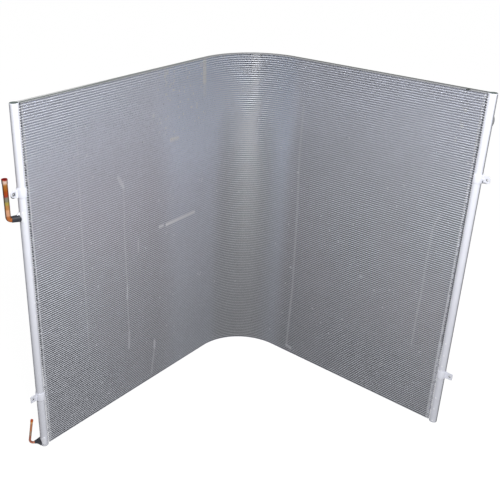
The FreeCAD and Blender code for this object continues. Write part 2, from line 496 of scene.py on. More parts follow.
class NodeBook:
    """Node tree of one material or of the world, with one method that adds any node."""

    def __init__(self, owner: bpy.types.Material | bpy.types.World) -> None:
        """Starts an empty node tree.

        Args:
            owner: Material or world that it belongs to.
        """
        self.owner = owner
        owner.use_nodes = True
        self.tree = owner.node_tree
        self.tree.nodes.clear()

    def add(self, kind: str, settings: dict[str, object], values: dict[int | str, object]) -> bpy.types.Node:
        """Adds a node, sets it and feeds its sockets.

        Args:
            kind: Type of the node.
            settings: Attributes to set first; "stops" fills a colour ramp with (place, colour) pairs.
            values: Numbers, colours or wires by socket.

        Returns:
            The node.
        """
        node = self.tree.nodes.new(kind)
        for key, value in settings.items():
            if key == "stops":
                self.fill_ramp(node.color_ramp, value)
            else:
                setattr(node, key, value)
        for key, value in values.items():
            if isinstance(value, Wire):
                self.tree.links.new(value.socket, node.inputs[key])
            else:
                node.inputs[key].default_value = value
        return node

    def node(
        self,
        kind: str,
        settings: dict[str, object],
        values: dict[int | str, object],
        result: int | str = 0,
    ) -> Wire:
        """Adds a node and passes on one of its outputs."""
        return Wire(self, self.add(kind, settings, values).outputs[result])

    @staticmethod
    def fill_ramp(ramp: bpy.types.ColorRamp, stops: list[tuple[float, Colour]]) -> None:
        """Writes stops into a colour ramp.

        Args:
            ramp: The ramp.
            stops: Pairs of place and colour, in rising order.
        """
        while len(ramp.elements) < len(stops):
            ramp.elements.new(0.5)
        for element, (place, colour) in zip(ramp.elements, stops):
            element.position = place
            element.color = (*colour, 1.0)

    def place(self) -> Wire:
        """Object coordinates, which are the frame's own because every piece sits at the origin."""
        return self.node("ShaderNodeTexCoord", {}, {}, "Object")

    def split(self, vector: Wire) -> tuple[Wire, Wire, Wire]:
        """Takes a vector apart.

        Args:
            vector: The vector.

        Returns:
            Its x, y and z.
        """
        first = self.node("ShaderNodeSeparateXYZ", {}, {0: vector})
        outputs = first.socket.node.outputs
        return tuple(Wire(self, outputs[index]) for index in range(3))

    def stretched(self, vector: Wire, scale: Triple) -> Wire:
        """A vector times a scale of its own along each axis."""
        return self.node("ShaderNodeVectorMath", {"operation": "MULTIPLY"}, {0: vector, 1: scale})

    def noise(self, vector: Wire, scale: float, detail: float = 3.0, roughness: float = 0.55) -> Wire:
        """Noise from 0 to 1 with about scale lumps a metre."""
        values = {"Vector": vector, "Scale": scale, "Detail": detail, "Roughness": roughness}
        return self.node("ShaderNodeTexNoise", {}, values, "Fac")

    def attribute(self, name: str) -> Wire:
        """A number that the mesh carries at its vertices."""
        return self.node("ShaderNodeAttribute", {"attribute_name": name}, {}, "Fac")

    def facing(self, direction: Triple) -> Wire:
        """Cosine of the angle between the surface's normal and a direction fixed to the coil.

        Args:
            direction: Unit vector.

        Returns:
            The cosine.
        """
        normal = self.node("ShaderNodeNewGeometry", {}, {}, "Normal")
        values = {0: normal, 1: direction}
        return self.node("ShaderNodeVectorMath", {"operation": "DOT_PRODUCT"}, values, "Value")

    def upwards(self) -> Wire:
        """1 where the surface faces up, 0 where it leans by more than about 40 degrees."""
        return self.facing(UPWARDS).fade(0.75, 0.95)

    def seen(self) -> Wire:
        """Tells rays that come from the camera, off a mirror or through glass from those that only light.

        Returns:
            1 for the former and 0 for the latter.
        """
        camera = self.node("ShaderNodeLightPath", {}, {}, "Is Camera Ray")
        glossy, through = (
            Wire(self, camera.socket.node.outputs[ray]) for ray in ("Is Glossy Ray", "Is Transmission Ray")
        )
        return camera.high(glossy).high(through)

    def blend(
        self, factor: "Wire | float", first: "Wire | Colour", second: "Wire | Colour", way: str = "MIX"
    ) -> Wire:
        """Mixes two colours.

        Args:
            factor: Share of the second colour.
            first: Colour at 0.
            second: Colour at 1.
            way: Blend type.

        Returns:
            The mixed colour.
        """
        first = first if isinstance(first, Wire) else (*first, 1.0)
        second = second if isinstance(second, Wire) else (*second, 1.0)
        settings = {"data_type": "RGBA", "blend_type": way, "clamp_factor": True}
        return self.node("ShaderNodeMix", settings, {0: factor, 6: first, 7: second}, 2)

    def shade(self, colour: "Wire | Colour", factor: Wire) -> Wire:
        """Multiplies a colour by a grey factor."""
        grey = self.node("ShaderNodeCombineColor", {}, {0: factor, 1: factor, 2: factor})
        return self.blend(1.0, colour, grey, "MULTIPLY")

    def bump(self, height: Wire, depth: float) -> Wire:
        """Normal of a relief whose full height is depth metres."""
        return self.node("ShaderNodeBump", {}, {"Height": height, "Distance": depth, "Strength": 1.0})

    def surface(self, **values: object) -> bpy.types.Material:
        """Closes the material with a Principled shader.

        Args:
            **values: Its sockets, with underscores for spaces.

        Returns:
            The material.
        """
        sockets = {key.replace("_", " "): value for key, value in values.items()}
        shader = self.node("ShaderNodeBsdfPrincipled", {}, sockets)
        self.add("ShaderNodeOutputMaterial", {}, {"Surface": shader})
        return self.owner


@dataclass(frozen=True)
class LimbShade:
    """Painted shade on a round piece where it faces a direction and where it faces away from it."""

    direction: Triple
    near: float
    far: float
    near_fade: Span = (0.62, 0.92)
    far_fade: Span = (-0.55, -0.95)

    def level(self, book: NodeBook) -> Wire:
        """Factor on the colour: 1 less the near share towards the direction and the far one away from it."""
        limb = book.facing(self.direction)
        return 1.0 - self.near * limb.fade(*self.near_fade) - self.far * limb.fade(*self.far_fade)


@dataclass(frozen=True)
class BrazedAluminium:
    """Pale brazed aluminium, mottled, faintly drawn along its length and specked with flux."""

    name: str
    colour: Colour = (0.80, 0.81, 0.84)
    metallic: float = 0.25
    roughness: float = 0.42
    mottle: float = 0.10
    speck: float = 0.5
    grain: Triple = (900.0, 900.0, 12.0)
    specular: float = 0.3
    dust_and_foot_shade: float = 0.0
    shaded: bool = False
    limb_shade: LimbShade | None = None
    top_shade_colour: Colour | None = None
    flux_colour: Colour = (0.92, 0.935, 0.99)
    shade_colour: Colour = (0.03, 0.034, 0.042)
    sheen_metallic: float = 0.95
    relief_depth: float = 0.25 * MM

    def cover(self, book: NodeBook, place: Wire, colour: Wire) -> Wire:
        """Adds painted shade towards the floor, where the mesh is marked, at the limbs and on the tops.

        Args:
            book: The material's nodes.
            place: Object coordinates.
            colour: Colour so far.

        Returns:
            The colour with its covers.
        """
        # Painted shade: darker towards the floor, fading out one metre up.
        if self.dust_and_foot_shade:
            colour = book.shade(colour, 1.0 - self.dust_and_foot_shade * book.split(place)[2].fade(1.0, 0.0))
        if self.shaded:
            colour = book.blend(book.attribute("shade"), colour, self.shade_colour)
        # Painted shade at the limbs, which face directions fixed to the coil.
        if self.limb_shade is not None:
            colour = book.shade(colour, self.limb_shade.level(book))
        # Painted shade on the tops: faces that look up take a dark colour.
        if self.top_shade_colour is not None:
            colour = book.blend(book.upwards(), colour, self.top_shade_colour)
        return colour

    def shine(self, book: NodeBook, place: Wire) -> "Wire | float":
        """Share from 0 to 1 of more metallic, smoother metal that mirrors its surroundings."""
        return 0.0

    def material(self) -> bpy.types.Material:
        """Builds the finish.

        Returns:
            The material.
        """
        book = NodeBook(bpy.data.materials.new(self.name))
        place = book.place()
        mottle = book.noise(place, 22.0, 5.0, 0.6)
        drawn = book.noise(book.stretched(place, self.grain), 1.0, 2.0)
        fine = book.noise(place, 900.0, 2.0)
        flux = book.noise(place, 160.0, 4.0, 0.7).fade(0.66, 0.74) * self.speck
        level = 1.0 + (mottle - 0.5) * (2 * self.mottle)
        level = level + (drawn - 0.5) * (0.8 * self.mottle) + (fine - 0.5) * 0.05
        colour = book.blend(flux * 0.6, book.shade(self.colour, level), self.flux_colour)
        colour = self.cover(book, place, colour)
        relief = mottle * 0.5 + fine * 0.12 + flux * 0.5
        shine = self.shine(book, place)
        return book.surface(
            Base_Color=colour,
            Metallic=self.metallic + shine * (self.sheen_metallic - self.metallic),
            Roughness=self.roughness + (mottle - 0.5) * 0.25 + flux * 0.3 - shine * 0.1,
            Specular_IOR_Level=self.specular,
            Normal=book.bump(relief, self.relief_depth),
        )


@dataclass(frozen=True)
class EdgedPlate(BrazedAluminium):
    """Side plate, painted dark on top as shade, greyer along its inner half and round the bend, with a
    painted highlight at its outer rim.
    """

    bend: Zone = (0.91, 0.98, 1.33, 1.40)
    patch: Zone = (2.087, 2.091, 2.101, 2.105)
    inner_edge: Span = (2.0 * MM, -1.0 * MM)
    inner_start: Span = (0.3, 0.6)
    rim_edge: Span = (9.5 * MM, 10.5 * MM)
    rim_end: Span = (1.3, 1.1)
    rim_widening: float = 9.0 * MM
    widening_end: Span = (0.55, 0.2)
    back_edge: Span = (1.0 * MM, 4.0 * MM)
    back_start: Span = (1.25, 1.35)
    grey: Colour = (0.235, 0.24, 0.255)
    rim_highlight_colour: Colour = (0.66, 0.665, 0.67)
    back_shade_colour: Colour = (0.03, 0.04, 0.036)
    patch_colour: Colour = (0.03, 0.04, 0.035)

    def cover(self, book: NodeBook, place: Wire, colour: Wire) -> Wire:
        """Greys the inner half and the bend, whitens the rim as a painted highlight, darkens the right leg's
        outer half as painted shade and darkens a patch.

        Args:
            book: The material's nodes.
            place: Object coordinates.
            colour: Colour so far.

        Returns:
            The colour with its covers.
        """
        along, across, _ = book.split(book.node("ShaderNodeUVMap", {"uv_map": "strip"}, {}))
        # Colours of the top only: painted highlight at the outer rim, painted shade on the right leg's outer
        # half.
        upwards = book.upwards()
        inner = (across.fade(*self.inner_edge) * along.fade(*self.inner_start)).high(along.within(self.bend))
        colour = book.blend(upwards * inner, super().cover(book, place, colour), self.grey)
        widened = across + along.fade(*self.widening_end) * self.rim_widening
        rim = widened.fade(*self.rim_edge) * along.fade(*self.rim_end)
        colour = book.blend(upwards * rim, colour, self.rim_highlight_colour)
        back = across.fade(*self.back_edge) * along.fade(*self.back_start)
        colour = book.blend(upwards * back, colour, self.back_shade_colour)
        return book.blend(along.within(self.patch), colour, self.patch_colour)


@dataclass(frozen=True)
class TubeStock(BrazedAluminium):
    """Flat tube metal, with painted shade towards the top, and shinier with a painted highlight in the middle
    of the bend.
    """

    layout: Layout | None = None
    upper_shade: float = 0.16
    sheen_colour: Colour = (0.97, 0.955, 0.95)
    sheen_share: float = 0.45
    sheen_loss: float = 0.25
    sheen_fade: float = 0.12

    def upper(self, height: Wire) -> Wire:
        """Fourth power of the share of the stack's height, so only the upper rows count."""
        return height.fade(self.layout.floor, self.layout.ceiling) ** 4.0

    def cover(self, book: NodeBook, place: Wire, colour: Wire) -> Wire:
        """Darkens the upper rows with painted shade and brightens the middle of the bend with a painted
        highlight.

        Args:
            book: The material's nodes.
            place: Object coordinates.
            colour: Colour so far.

        Returns:
            The colour with its covers.
        """
        # Painted shade on the upper rows, then the painted highlight in the bend.
        colour = book.shade(colour, 1.0 - self.upper_shade * self.upper(book.split(place)[2]))
        colour = book.blend(self.shine(book, place), colour, self.sheen_colour)
        return super().cover(book, place, colour)

    def shine(self, book: NodeBook, place: Wire) -> Wire:
        """Shinier metal with a painted highlight: where both x and y are past the bend's start, less of it
        near the top.

        Args:
            book: The material's nodes.
            place: Object coordinates.

        Returns:
            Its share.
        """
        x, y, height = book.split(place)
        start_x, start_y = (value - BEND_RADIUS for value in self.layout.corner)
        middle = x.fade(start_x, start_x + self.sheen_fade) * y.fade(start_y, start_y + self.sheen_fade)
        return middle * (self.sheen_share - self.sheen_loss * self.upper(height))


@dataclass(frozen=True)
class FinStock:
    """Thin fin strip: grey aluminium with rows of louvres, its level painted lighter or darker by place as
    light and shade; paler where it is knocked or fluxed and at painted glints, darker at specks and painted
    shade.

    The spans and zones are distances along the coil. Each of the tuples of shares holds a constant, then
    what the share of the height and its fourth power add or take away.
    """

    name: str
    layout: Layout
    colour: Colour = (0.50, 0.515, 0.58)
    beside_colour: Colour = (0.475, 0.515, 0.60)
    flux_and_glint_colour: Colour = (0.96, 0.97, 0.98)
    dark_colour: Colour = (0.02, 0.024, 0.035)
    metallic: float = 0.25
    roughness: float = 0.42
    louvre_pitch: float = 1.1 * MM
    relief_depth: float = 0.15 * MM
    bend: Zone = (0.98, 1.08, 1.24, 1.34)
    beside: Zone = (0.60, 0.80, 1.34, 1.42)
    right_leg: Span = (1.35, 1.5)
    right_end: Span = (1.7, 2.1)
    by_height: Triple = (0.33, 0.45, 0.88)
    beside_gain: Span = (1.05, 0.75)
    bend_loss: Triple = (0.25, 0.2, 0.35)
    right_loss: float = 0.08
    right_gain: float = 0.12
    brightest: float = 1.62

    def painted_shading(self, along: Wire, height: Wire, beside: Wire) -> Wire:
        """Painted light and shade of the fins: the level rises with height, more beside the bend, less in it
        and on the right leg.

        Args:
            along: Distance along the coil.
            height: Level of the point.
            beside: 1 in the bend and beside it on the left leg.

        Returns:
            Factor on the colour.
        """
        risen = height.fade(self.layout.floor, self.layout.ceiling)
        upper = risen**4.0
        base, rise, rise_upper = self.by_height
        gain, gain_loss = self.beside_gain
        loss, loss_rise, loss_upper = self.bend_loss
        level = base + rise * risen + rise_upper * upper
        level = level * (1.0 + (gain - gain_loss * risen) * beside)
        level = level * (1.0 - along.within(self.bend) * (loss + loss_rise * risen - loss_upper * upper))
        level = level * (1.0 - self.right_loss * along.fade(*self.right_leg))
        return level * (1.0 + self.right_gain * upper * along.fade(*self.right_end))

    def material(self) -> bpy.types.Material:
        """Builds the finish.

        Returns:
            The material.
        """
        book = NodeBook(bpy.data.materials.new(self.name))
        place = book.place()
        along, depth, _ = book.split(book.node("ShaderNodeUVMap", {"uv_map": "strip"}, {}))
        wear = book.attribute("wear")
        band = book.noise(book.stretched(place, (3.0, 3.0, 1.6)), 1.0, 3.0)
        streak = book.noise(book.stretched(place, (55.0, 55.0, 110.0)), 1.0, 3.0, 0.7)
        grit = book.noise(place, 700.0, 2.0, 0.7)
        slit = (depth * (2 * math.pi / self.louvre_pitch)).wave()
        uneven = 1.0 + (band - 0.5) * 0.16 + (streak - 0.5) * 0.36 + (grit - 0.5) * 0.4 + slit * 0.05
        beside = along.within(self.beside)
        # Painted light and shade: the fins' level changes with height and place along the coil.
        level = self.painted_shading(along, book.split(place)[2], beside) * uneven
        colour = book.blend(beside, self.colour, self.beside_colour)
        colour = book.shade(colour, level.low(self.brightest))
        # Real marks and painted glints lighten; specks and painted shade in the end folds darken.
        colour = book.blend(wear.high(0.0), colour, self.flux_and_glint_colour)
        colour = book.blend((wear * -1.0).high(0.0), colour, self.dark_colour)
        return book.surface(
            Base_Color=colour,
            Metallic=self.metallic,
            Roughness=self.roughness + (grit - 0.5) * 0.3,
            Normal=book.bump(slit * 0.5 + grit * 0.3, self.relief_depth),
        )


@dataclass(frozen=True)
class HeatTintedCopper:
    """Copper whose colour runs with height through the tints of a torch, some bands of them painted
    highlights, from the open end downwards, with soot in patches and painted shade on its flanks.
    """

    name: str
    tip: float
    stops: tuple[tuple[float, Colour], ...]
    reach: float
    flank_shade: float
    inside: Colour
    metallic: float = 0.8
    roughness: float = 0.40
    soot_and_shade_colour: Colour = (0.10, 0.055, 0.035)
    mirror_tint: Colour = (0.35, 0.22, 0.16)
    wander: float = 6.0 * MM
    relief_depth: float = 0.3 * MM

    def material(self) -> bpy.types.Material:
        """Builds the finish.

        Returns:
            The material.
        """
        book = NodeBook(bpy.data.materials.new(self.name))
        place = book.place()
        height = book.split(place)[2]
        blotch = book.noise(place, 130.0, 4.0, 0.65)
        fine = book.noise(place, 900.0, 2.0)
        drawn = book.noise(book.stretched(place, (500.0, 500.0, 40.0)), 1.0, 2.0)
        down = (self.tip - height + (blotch - 0.5) * self.wander) / self.reach
        tint = book.node("ShaderNodeValToRGB", {"stops": list(self.stops)}, {0: down})
        level = 1.0 + (blotch - 0.5) * 0.35 + (fine - 0.5) * 0.12 + (drawn - 0.5) * 0.18
        # Soot in patches, and painted shade on the flank facing PIPE_FLANK and, fainter, on the one facing
        # away.
        soot_and_flank_shade = book.noise(place, 60.0, 5.0, 0.7).fade(0.60, 0.72) * 0.45
        flank = book.facing(PIPE_FLANK)
        soot_and_flank_shade = soot_and_flank_shade.high(flank.fade(0.1, 0.7) * self.flank_shade)
        soot_and_flank_shade = soot_and_flank_shade.high(flank.fade(-0.6, -1.0) * (0.6 * self.flank_shade))
        colour = book.blend(soot_and_flank_shade, book.shade(tint, level), self.soot_and_shade_colour)
        colour = book.blend(book.attribute("inside"), colour, self.inside)
        return book.surface(
            Base_Color=colour,
            Metallic=self.metallic * (1.0 - soot_and_flank_shade * 0.9),
            Roughness=self.roughness + (blotch - 0.5) * 0.3 + soot_and_flank_shade * 0.4,
            Specular_Tint=(*self.mirror_tint, 1.0),
            Specular_IOR_Level=0.15,
            Normal=book.bump(blotch * 0.5 + fine * 0.15, self.relief_depth),
        )


@dataclass(frozen=True)
class ShrinkSleeve:
    """Black heat-shrink plastic, half glossy, finely creased and dulled by dusty patches."""

    name: str
    colour: Colour = (0.016, 0.018, 0.026)
    dust_colour: Colour = (0.05, 0.053, 0.065)
    roughness: float = 0.5
    relief_depth: float = 0.5 * MM

    def material(self) -> bpy.types.Material:
        """Builds the finish.

        Returns:
            The material.
        """
        book = NodeBook(bpy.data.materials.new(self.name))
        place = book.place()
        crease = book.noise(place, 190.0, 4.0, 0.6)
        fine = book.noise(place, 1400.0, 2.0)
        dust_and_foot_shade = book.noise(place, 70.0, 5.0, 0.7).fade(0.52, 0.75) * 0.5
        colour = book.blend(dust_and_foot_shade, self.colour, self.dust_colour)
        return book.surface(
            Base_Color=colour,
            Roughness=self.roughness + dust_and_foot_shade * 0.35 + (fine - 0.5) * 0.1,
            Normal=book.bump(crease * 0.7 + fine * 0.1, self.relief_depth),
            Specular_IOR_Level=0.4,
        )


def dress(piece: bpy.types.Object, material: bpy.types.Material, slot: str, *nodes: str) -> None:
    """Gives a piece its finish and hides the CAD nodes that it stands for.

    Args:
        piece: The object.
        material: Its finish.
        slot: Not used.
        *nodes: CAD nodes that it replaces.
    """
    piece.data.materials.clear()
    piece.data.materials.append(material)
    if nodes:
        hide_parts(*nodes)


@dataclass
class FlatTubes:
    """The 153 flat tubes, each a stadium section carried from inside one header to inside the other."""

    layout: Layout
    nose_points: int = 5
    arc_steps: int = 24
    gap_end: float = 19.5 * MM
    gap_fade: float = 0.4 * MM
    gap_shade: float = 0.9
    gap_foot: float = 0.4
    gap_rise: Span = (0.25, 0.42)

    def section(self) -> tuple[Array, Array]:
        """Stadium outline: half circles of the tube's thickness at both ends of its depth.

        Returns:
            Distances outwards and heights of the outline.
        """
        radius = TUBE_THICKNESS / 2
        angle = np.linspace(-math.pi / 2, math.pi / 2, self.nose_points)
        flat = self.layout.half_depth - radius
        outwards = np.concatenate([flat + radius * np.cos(angle), -flat - radius * np.cos(angle)])
        height = np.concatenate([radius * np.sin(angle), -radius * np.sin(angle)])
        return outwards, height

    def build(self) -> bpy.types.Object:
        """Carries the section along the coil at every tube's level, with painted shade in the gaps beside the
        headers.

        Returns:
            The tubes as one piece.
        """
        outwards, height = self.section()
        along = self.layout.stations(TUBE_END, TUBE_END, self.arc_steps)
        gap = self.gap_end + np.array([-self.gap_fade, self.gap_fade])
        along = np.concatenate([along[:1], gap, along[1:-1], self.layout.length - gap[::-1], along[-1:]])
        levels = self.layout.tube_level(np.arange(TUBE_COUNT))
        points = self.layout.follow(
            along[None, :, None], outwards[None, None, :], levels[:, None, None] + height[None, None, :]
        )
        shape = Shape.copies(points, close_v=True, caps=True).turned_over()
        share = (along / self.layout.length)[None, :, None]
        across = np.arange(len(outwards)) / len(outwards)
        shape.maps["OFBake"] = paired(share, stacked(TUBE_COUNT, across))
        # Painted shade on the tubes' flat faces in the gaps beside the headers, weaker near the foot.
        flat = (np.abs(height) / (TUBE_THICKNESS / 2)) ** 6
        within = np.minimum(along, self.layout.length - along) < self.gap_end
        risen = smooth(levels - self.layout.floor, *self.gap_rise)
        painted_shading = (self.gap_foot + (1.0 - self.gap_foot) * risen) * self.gap_shade
        shade = painted_shading[:, None, None] * within[None, :, None] * flat[None, None, :]
        shape.marks["shade"] = np.broadcast_to(shade, points.shape[:3]).reshape(-1)
        return shape.build("flat_tubes")


@dataclass(frozen=True)
class Mark:
    """Line of knocked or fluxed fins, in millimetres from its leg's header axis and the lower plate."""

    start: Span
    end: Span
    width: float
    strength: float

    def spread(self, along: Array, height: Array) -> Array:
        """Strength over the face: it fades with the distance to the line between the mark's ends.

        Args:
            along: Distances from the leg's header axis.
            height: Heights above the lower side plate.

        Returns:
            Array of strengths.
        """
        a = np.array(self.start) * MM
        run = np.array(self.end) * MM - a
        size = float(run @ run) + 1e-12
        fraction = np.clip(((along - a[0]) * run[0] + (height - a[1]) * run[1]) / size, 0.0, 1.0)
        distance = np.hypot(along - a[0] - fraction * run[0], height - a[1] - fraction * run[1])
        return self.strength * (1.0 - smooth(distance, 0.3 * self.width * MM, self.width * MM))


MARKS = {
    Side.LEFT: (
        Mark((697, 1395), (697, 1368), 9, 0.5),
        Mark((929, 1397), (931, 1306), 16, 1.0),
        Mark((931, 1306), (933, 1251), 14, 0.35),
        Mark((908, 1384), (908, 1378), 14, 0.6),
        Mark((1040, 1394), (1041, 1393), 10, 0.6),
        Mark((730, 1105), (770, 1103), 10, 1.4),
        Mark((631, 1226), (632, 1225), 9, 0.8),
        Mark((435, 1023), (460, 978), 11, 0.5),
        Mark((702, 735), (876, 737), 9, 1.4),
        Mark((660, 740), (680, 738), 8, 1.0),
        Mark((246, 1398), (243, 1089), 6, 0.18),
        Mark((243, 1089), (243, 654), 6, 0.18),
        Mark((243, 654), (246, 280), 6, 0.16),
        Mark((461, 999), (460, 722), 6, 0.20),
        Mark((460, 722), (467, 535), 6, 0.22),
        Mark((467, 535), (465, 473), 7, 0.5),
        Mark((465, 473), (470, 308), 6, 0.22),
        Mark((470, 308), (467, 228), 7, 0.5),
        Mark((535, 722), (533, 668), 6, 0.3),
        Mark((621, 188), (621, 151), 9, 0.55),
        Mark((621, 151), (600, 26), 8, 0.3),
    ),
    Side.RIGHT: (
        Mark((754, 1216), (757, 992), 8, 0.25),
        Mark((757, 992), (746, 738), 8, 0.25),
        Mark((746, 738), (740, 350), 8, 0.25),
        Mark((740, 350), (749, 26), 8, 0.3),
        Mark((749, 31), (725, 25), 10, 0.7),
        Mark((109, 915), (129, 859), 6, 0.3),
        Mark((129, 859), (134, 705), 6, 0.3),
        Mark((134, 705), (133, 565), 6, 0.28),
        Mark((133, 565), (138, 451), 6, 0.28),
        Mark((138, 451), (140, 314), 6, 0.25),
        Mark((262, 154), (263, 155), 9, 0.5),
        Mark((404, 538), (405, 539), 9, 0.5),
        Mark((81, 1328), (82, 1329), 10, 1.4),
        Mark((85, 1271), (86, 1272), 10, 1.4),
        Mark((99, 1209), (100, 1210), 7, 0.8),
        Mark((39, 1140), (40, 1141), 7, 0.8),
    ),
}


@dataclass
class CorrugatedFins:
    """Fin strips between the tubes, folded up and down so that each wall leans from one tube to the next."""

    layout: Layout
    wall_pitch: float = 1.5 * MM
    half_depth: float = 11.7 * MM
    bands: tuple[str, ...] = ("lower_fins", "middle_fins", "upper_fins")
    start: Span = (18.6 * MM, 20.5 * MM)
    end_band: Span = (8.5 * MM, 10.5 * MM)
    end_white: float = 0.9
    band_top: Span = (0.25, 0.55)
    end_fold: float = 1.2 * MM
    lump: int = 4
    glitter_start: Span = (0.60, 0.70)
    glitter_end: Span = (0.92, 0.96)
    glitter_rise: Span = (1.10, 1.16)
    glitter: Span = (0.95, 0.8)
    stray: Span = (0.9985, 0.45)
    speck: Span = (0.001, 0.2)
    fold_shade: float = 3.0
    fold_low: float = 0.6
    phase_least: float = 0.15
    phase_range: float = 0.7
    wander_step: float = 0.07
    wander_most: float = 0.35
    crush_from: float = 0.3
    crush_most: float = 1.2

    def wear(self, along: Array, height: Array) -> Array:
        """Adds up the marks, the pale strips beside the headers, painted glints and dark specks in lumps of a
        few fins, and painted shade in the end folds.

        A number is drawn for every lump of a few walls. Those past the first value of glitter, inside a
        patch high on the left leg, or of stray, anywhere, are lighter by its second value as painted glints,
        and those under the first value of speck are darker. The outermost fold beside each header is painted
        dark as shade.

        Args:
            along: Distances from the left header axis.
            height: Heights above the lower side plate.

        Returns:
            Array from -1, dark, to 1, white.
        """
        far = self.layout.length - along
        total = np.zeros(np.broadcast_shapes(along.shape, height.shape))
        for side, distance in ((Side.LEFT, along), (Side.RIGHT, far)):
            for mark in MARKS[side]:
                total = np.maximum(total, mark.spread(distance, height))
        ends = np.minimum(along - self.start[0], far - self.start[1])
        low = 1.0 - smooth(height, *self.band_top)
        band = self.end_band[0] + (self.end_band[1] - self.end_band[0]) * low
        total = np.maximum(total, self.end_white * (1.0 - smooth(ends / band, 0.7, 1.0)))
        rows, edges = total.shape
        lumps = np.random.default_rng(SEED + 1).random((rows, edges // self.lump + 1))
        draw = np.repeat(lumps, self.lump, axis=1)[:, :edges]
        patch = smooth(along, *self.glitter_start) * (1 - smooth(along, *self.glitter_end))
        patch = patch * smooth(height, *self.glitter_rise)
        # Lighter lumps: painted glints.
        light = (draw > self.glitter[0]) * self.glitter[1] * patch + (draw > self.stray[0]) * self.stray[1]
        # Painted shade in the outermost fold beside each header, weaker near the foot.
        end_fold_shade = (ends < self.end_fold) * self.fold_shade * (1.0 - self.fold_low * low)
        dark = (draw < self.speck[0]) * self.speck[1] + end_fold_shade
        return np.clip(total + light - dark, -1.0, 1.0)

    def rows(self, first: int, last: int) -> Shape:
        """Folded strips of the rows from first up to last: walls rise and fall in turn along the coil.

        Wall edges lie at s = s0 + (i + phase) pitch plus a small wander, on the lower tube for even i
        and on the upper tube for odd i, or the other way round on rows of the other parity.

        Args:
            first: Lowest row.
            last: Row after the highest.

        Returns:
            The strips as one shape, with its two UV maps and its wear and painted light.
        """
        rng = np.random.default_rng(SEED + first)
        count = last - first
        run = self.layout.length - sum(self.start)
        edges = int(run / self.wall_pitch)
        phase = rng.random((count, 1)) * self.phase_range + self.phase_least
        wander = rng.normal(0.0, self.wander_step, (count, edges)).cumsum(axis=1)
        wander -= np.linspace(0, 1, edges)[None] * wander[:, -1:]
        wall = np.arange(edges)[None] + phase + self.wander_most * np.tanh(wander)
        along = self.start[0] + wall * self.wall_pitch
        parity = (np.arange(edges)[None] + rng.integers(0, 2, (count, 1))) % 2
        base = self.layout.floor + PLATE_THICKNESS + np.arange(first, last)[:, None] * PITCH
        height = base + parity * FIN_HEIGHT
        wear = self.wear(along, height - self.layout.floor)
        crush = np.maximum(wear - self.crush_from, 0.0) * self.crush_most * MM
        crush = crush * rng.uniform(-1.0, 1.0, wear.shape)
        outwards = np.array([-self.half_depth, self.half_depth])
        shift = np.stack([crush, np.zeros_like(crush)], axis=-1)
        along_points = along[..., None] + shift
        points = self.layout.follow(along_points, outwards[None, None, :], height[..., None])
        shape = Shape.copies(points)
        across = np.array([0.0, 1.0])
        shape.maps["OFBake"] = paired((along / self.layout.length)[..., None], stacked(count, across))
        shape.maps["strip"] = paired(along_points, outwards)
        shape.marks["wear"] = np.repeat(wear[..., None], 2, axis=-1).reshape(-1)
        return shape

    def build(self) -> list[bpy.types.Object]:
        """Builds the strips in bands of rows, each light enough for one mesh.

        Returns:
            The bands from the lowest to the highest.
        """
        rows = TUBE_COUNT + 1
        cuts = np.linspace(0, rows, len(self.bands) + 1).astype(int)
        spans = zip(self.bands, cuts[:-1], cuts[1:])
        return [self.rows(low, high).build(name, 180.0) for name, low, high in spans]


@dataclass
class SidePlate:
    """Flat strip with softened edges that closes the stack above or below."""

    layout: Layout
    edge: float = 0.4 * MM
    gap: float = 0.3 * MM

    def build(self, name: str, low: float) -> bpy.types.Object:
        """Carries a rounded rectangle along the coil.

        Args:
            name: Name of the piece.
            low: Level of its underside.

        Returns:
            The strip.
        """
        section = rounded_rectangle(self.layout.half_depth, PLATE_THICKNESS / 2, self.edge, 4)
        end = self.layout.header_radius + self.gap
        along = self.layout.stations(end, end, 32)
        height = low + PLATE_THICKNESS / 2 + section[:, 1]
        points = self.layout.follow(along[:, None], section[None, :, 0], height[None])
        shape = Shape.grid(points, close_v=True, caps=True).turned_over()
        shape.maps["strip"] = paired(along[:, None], section[None, :, 0])
        return shape.build(name)


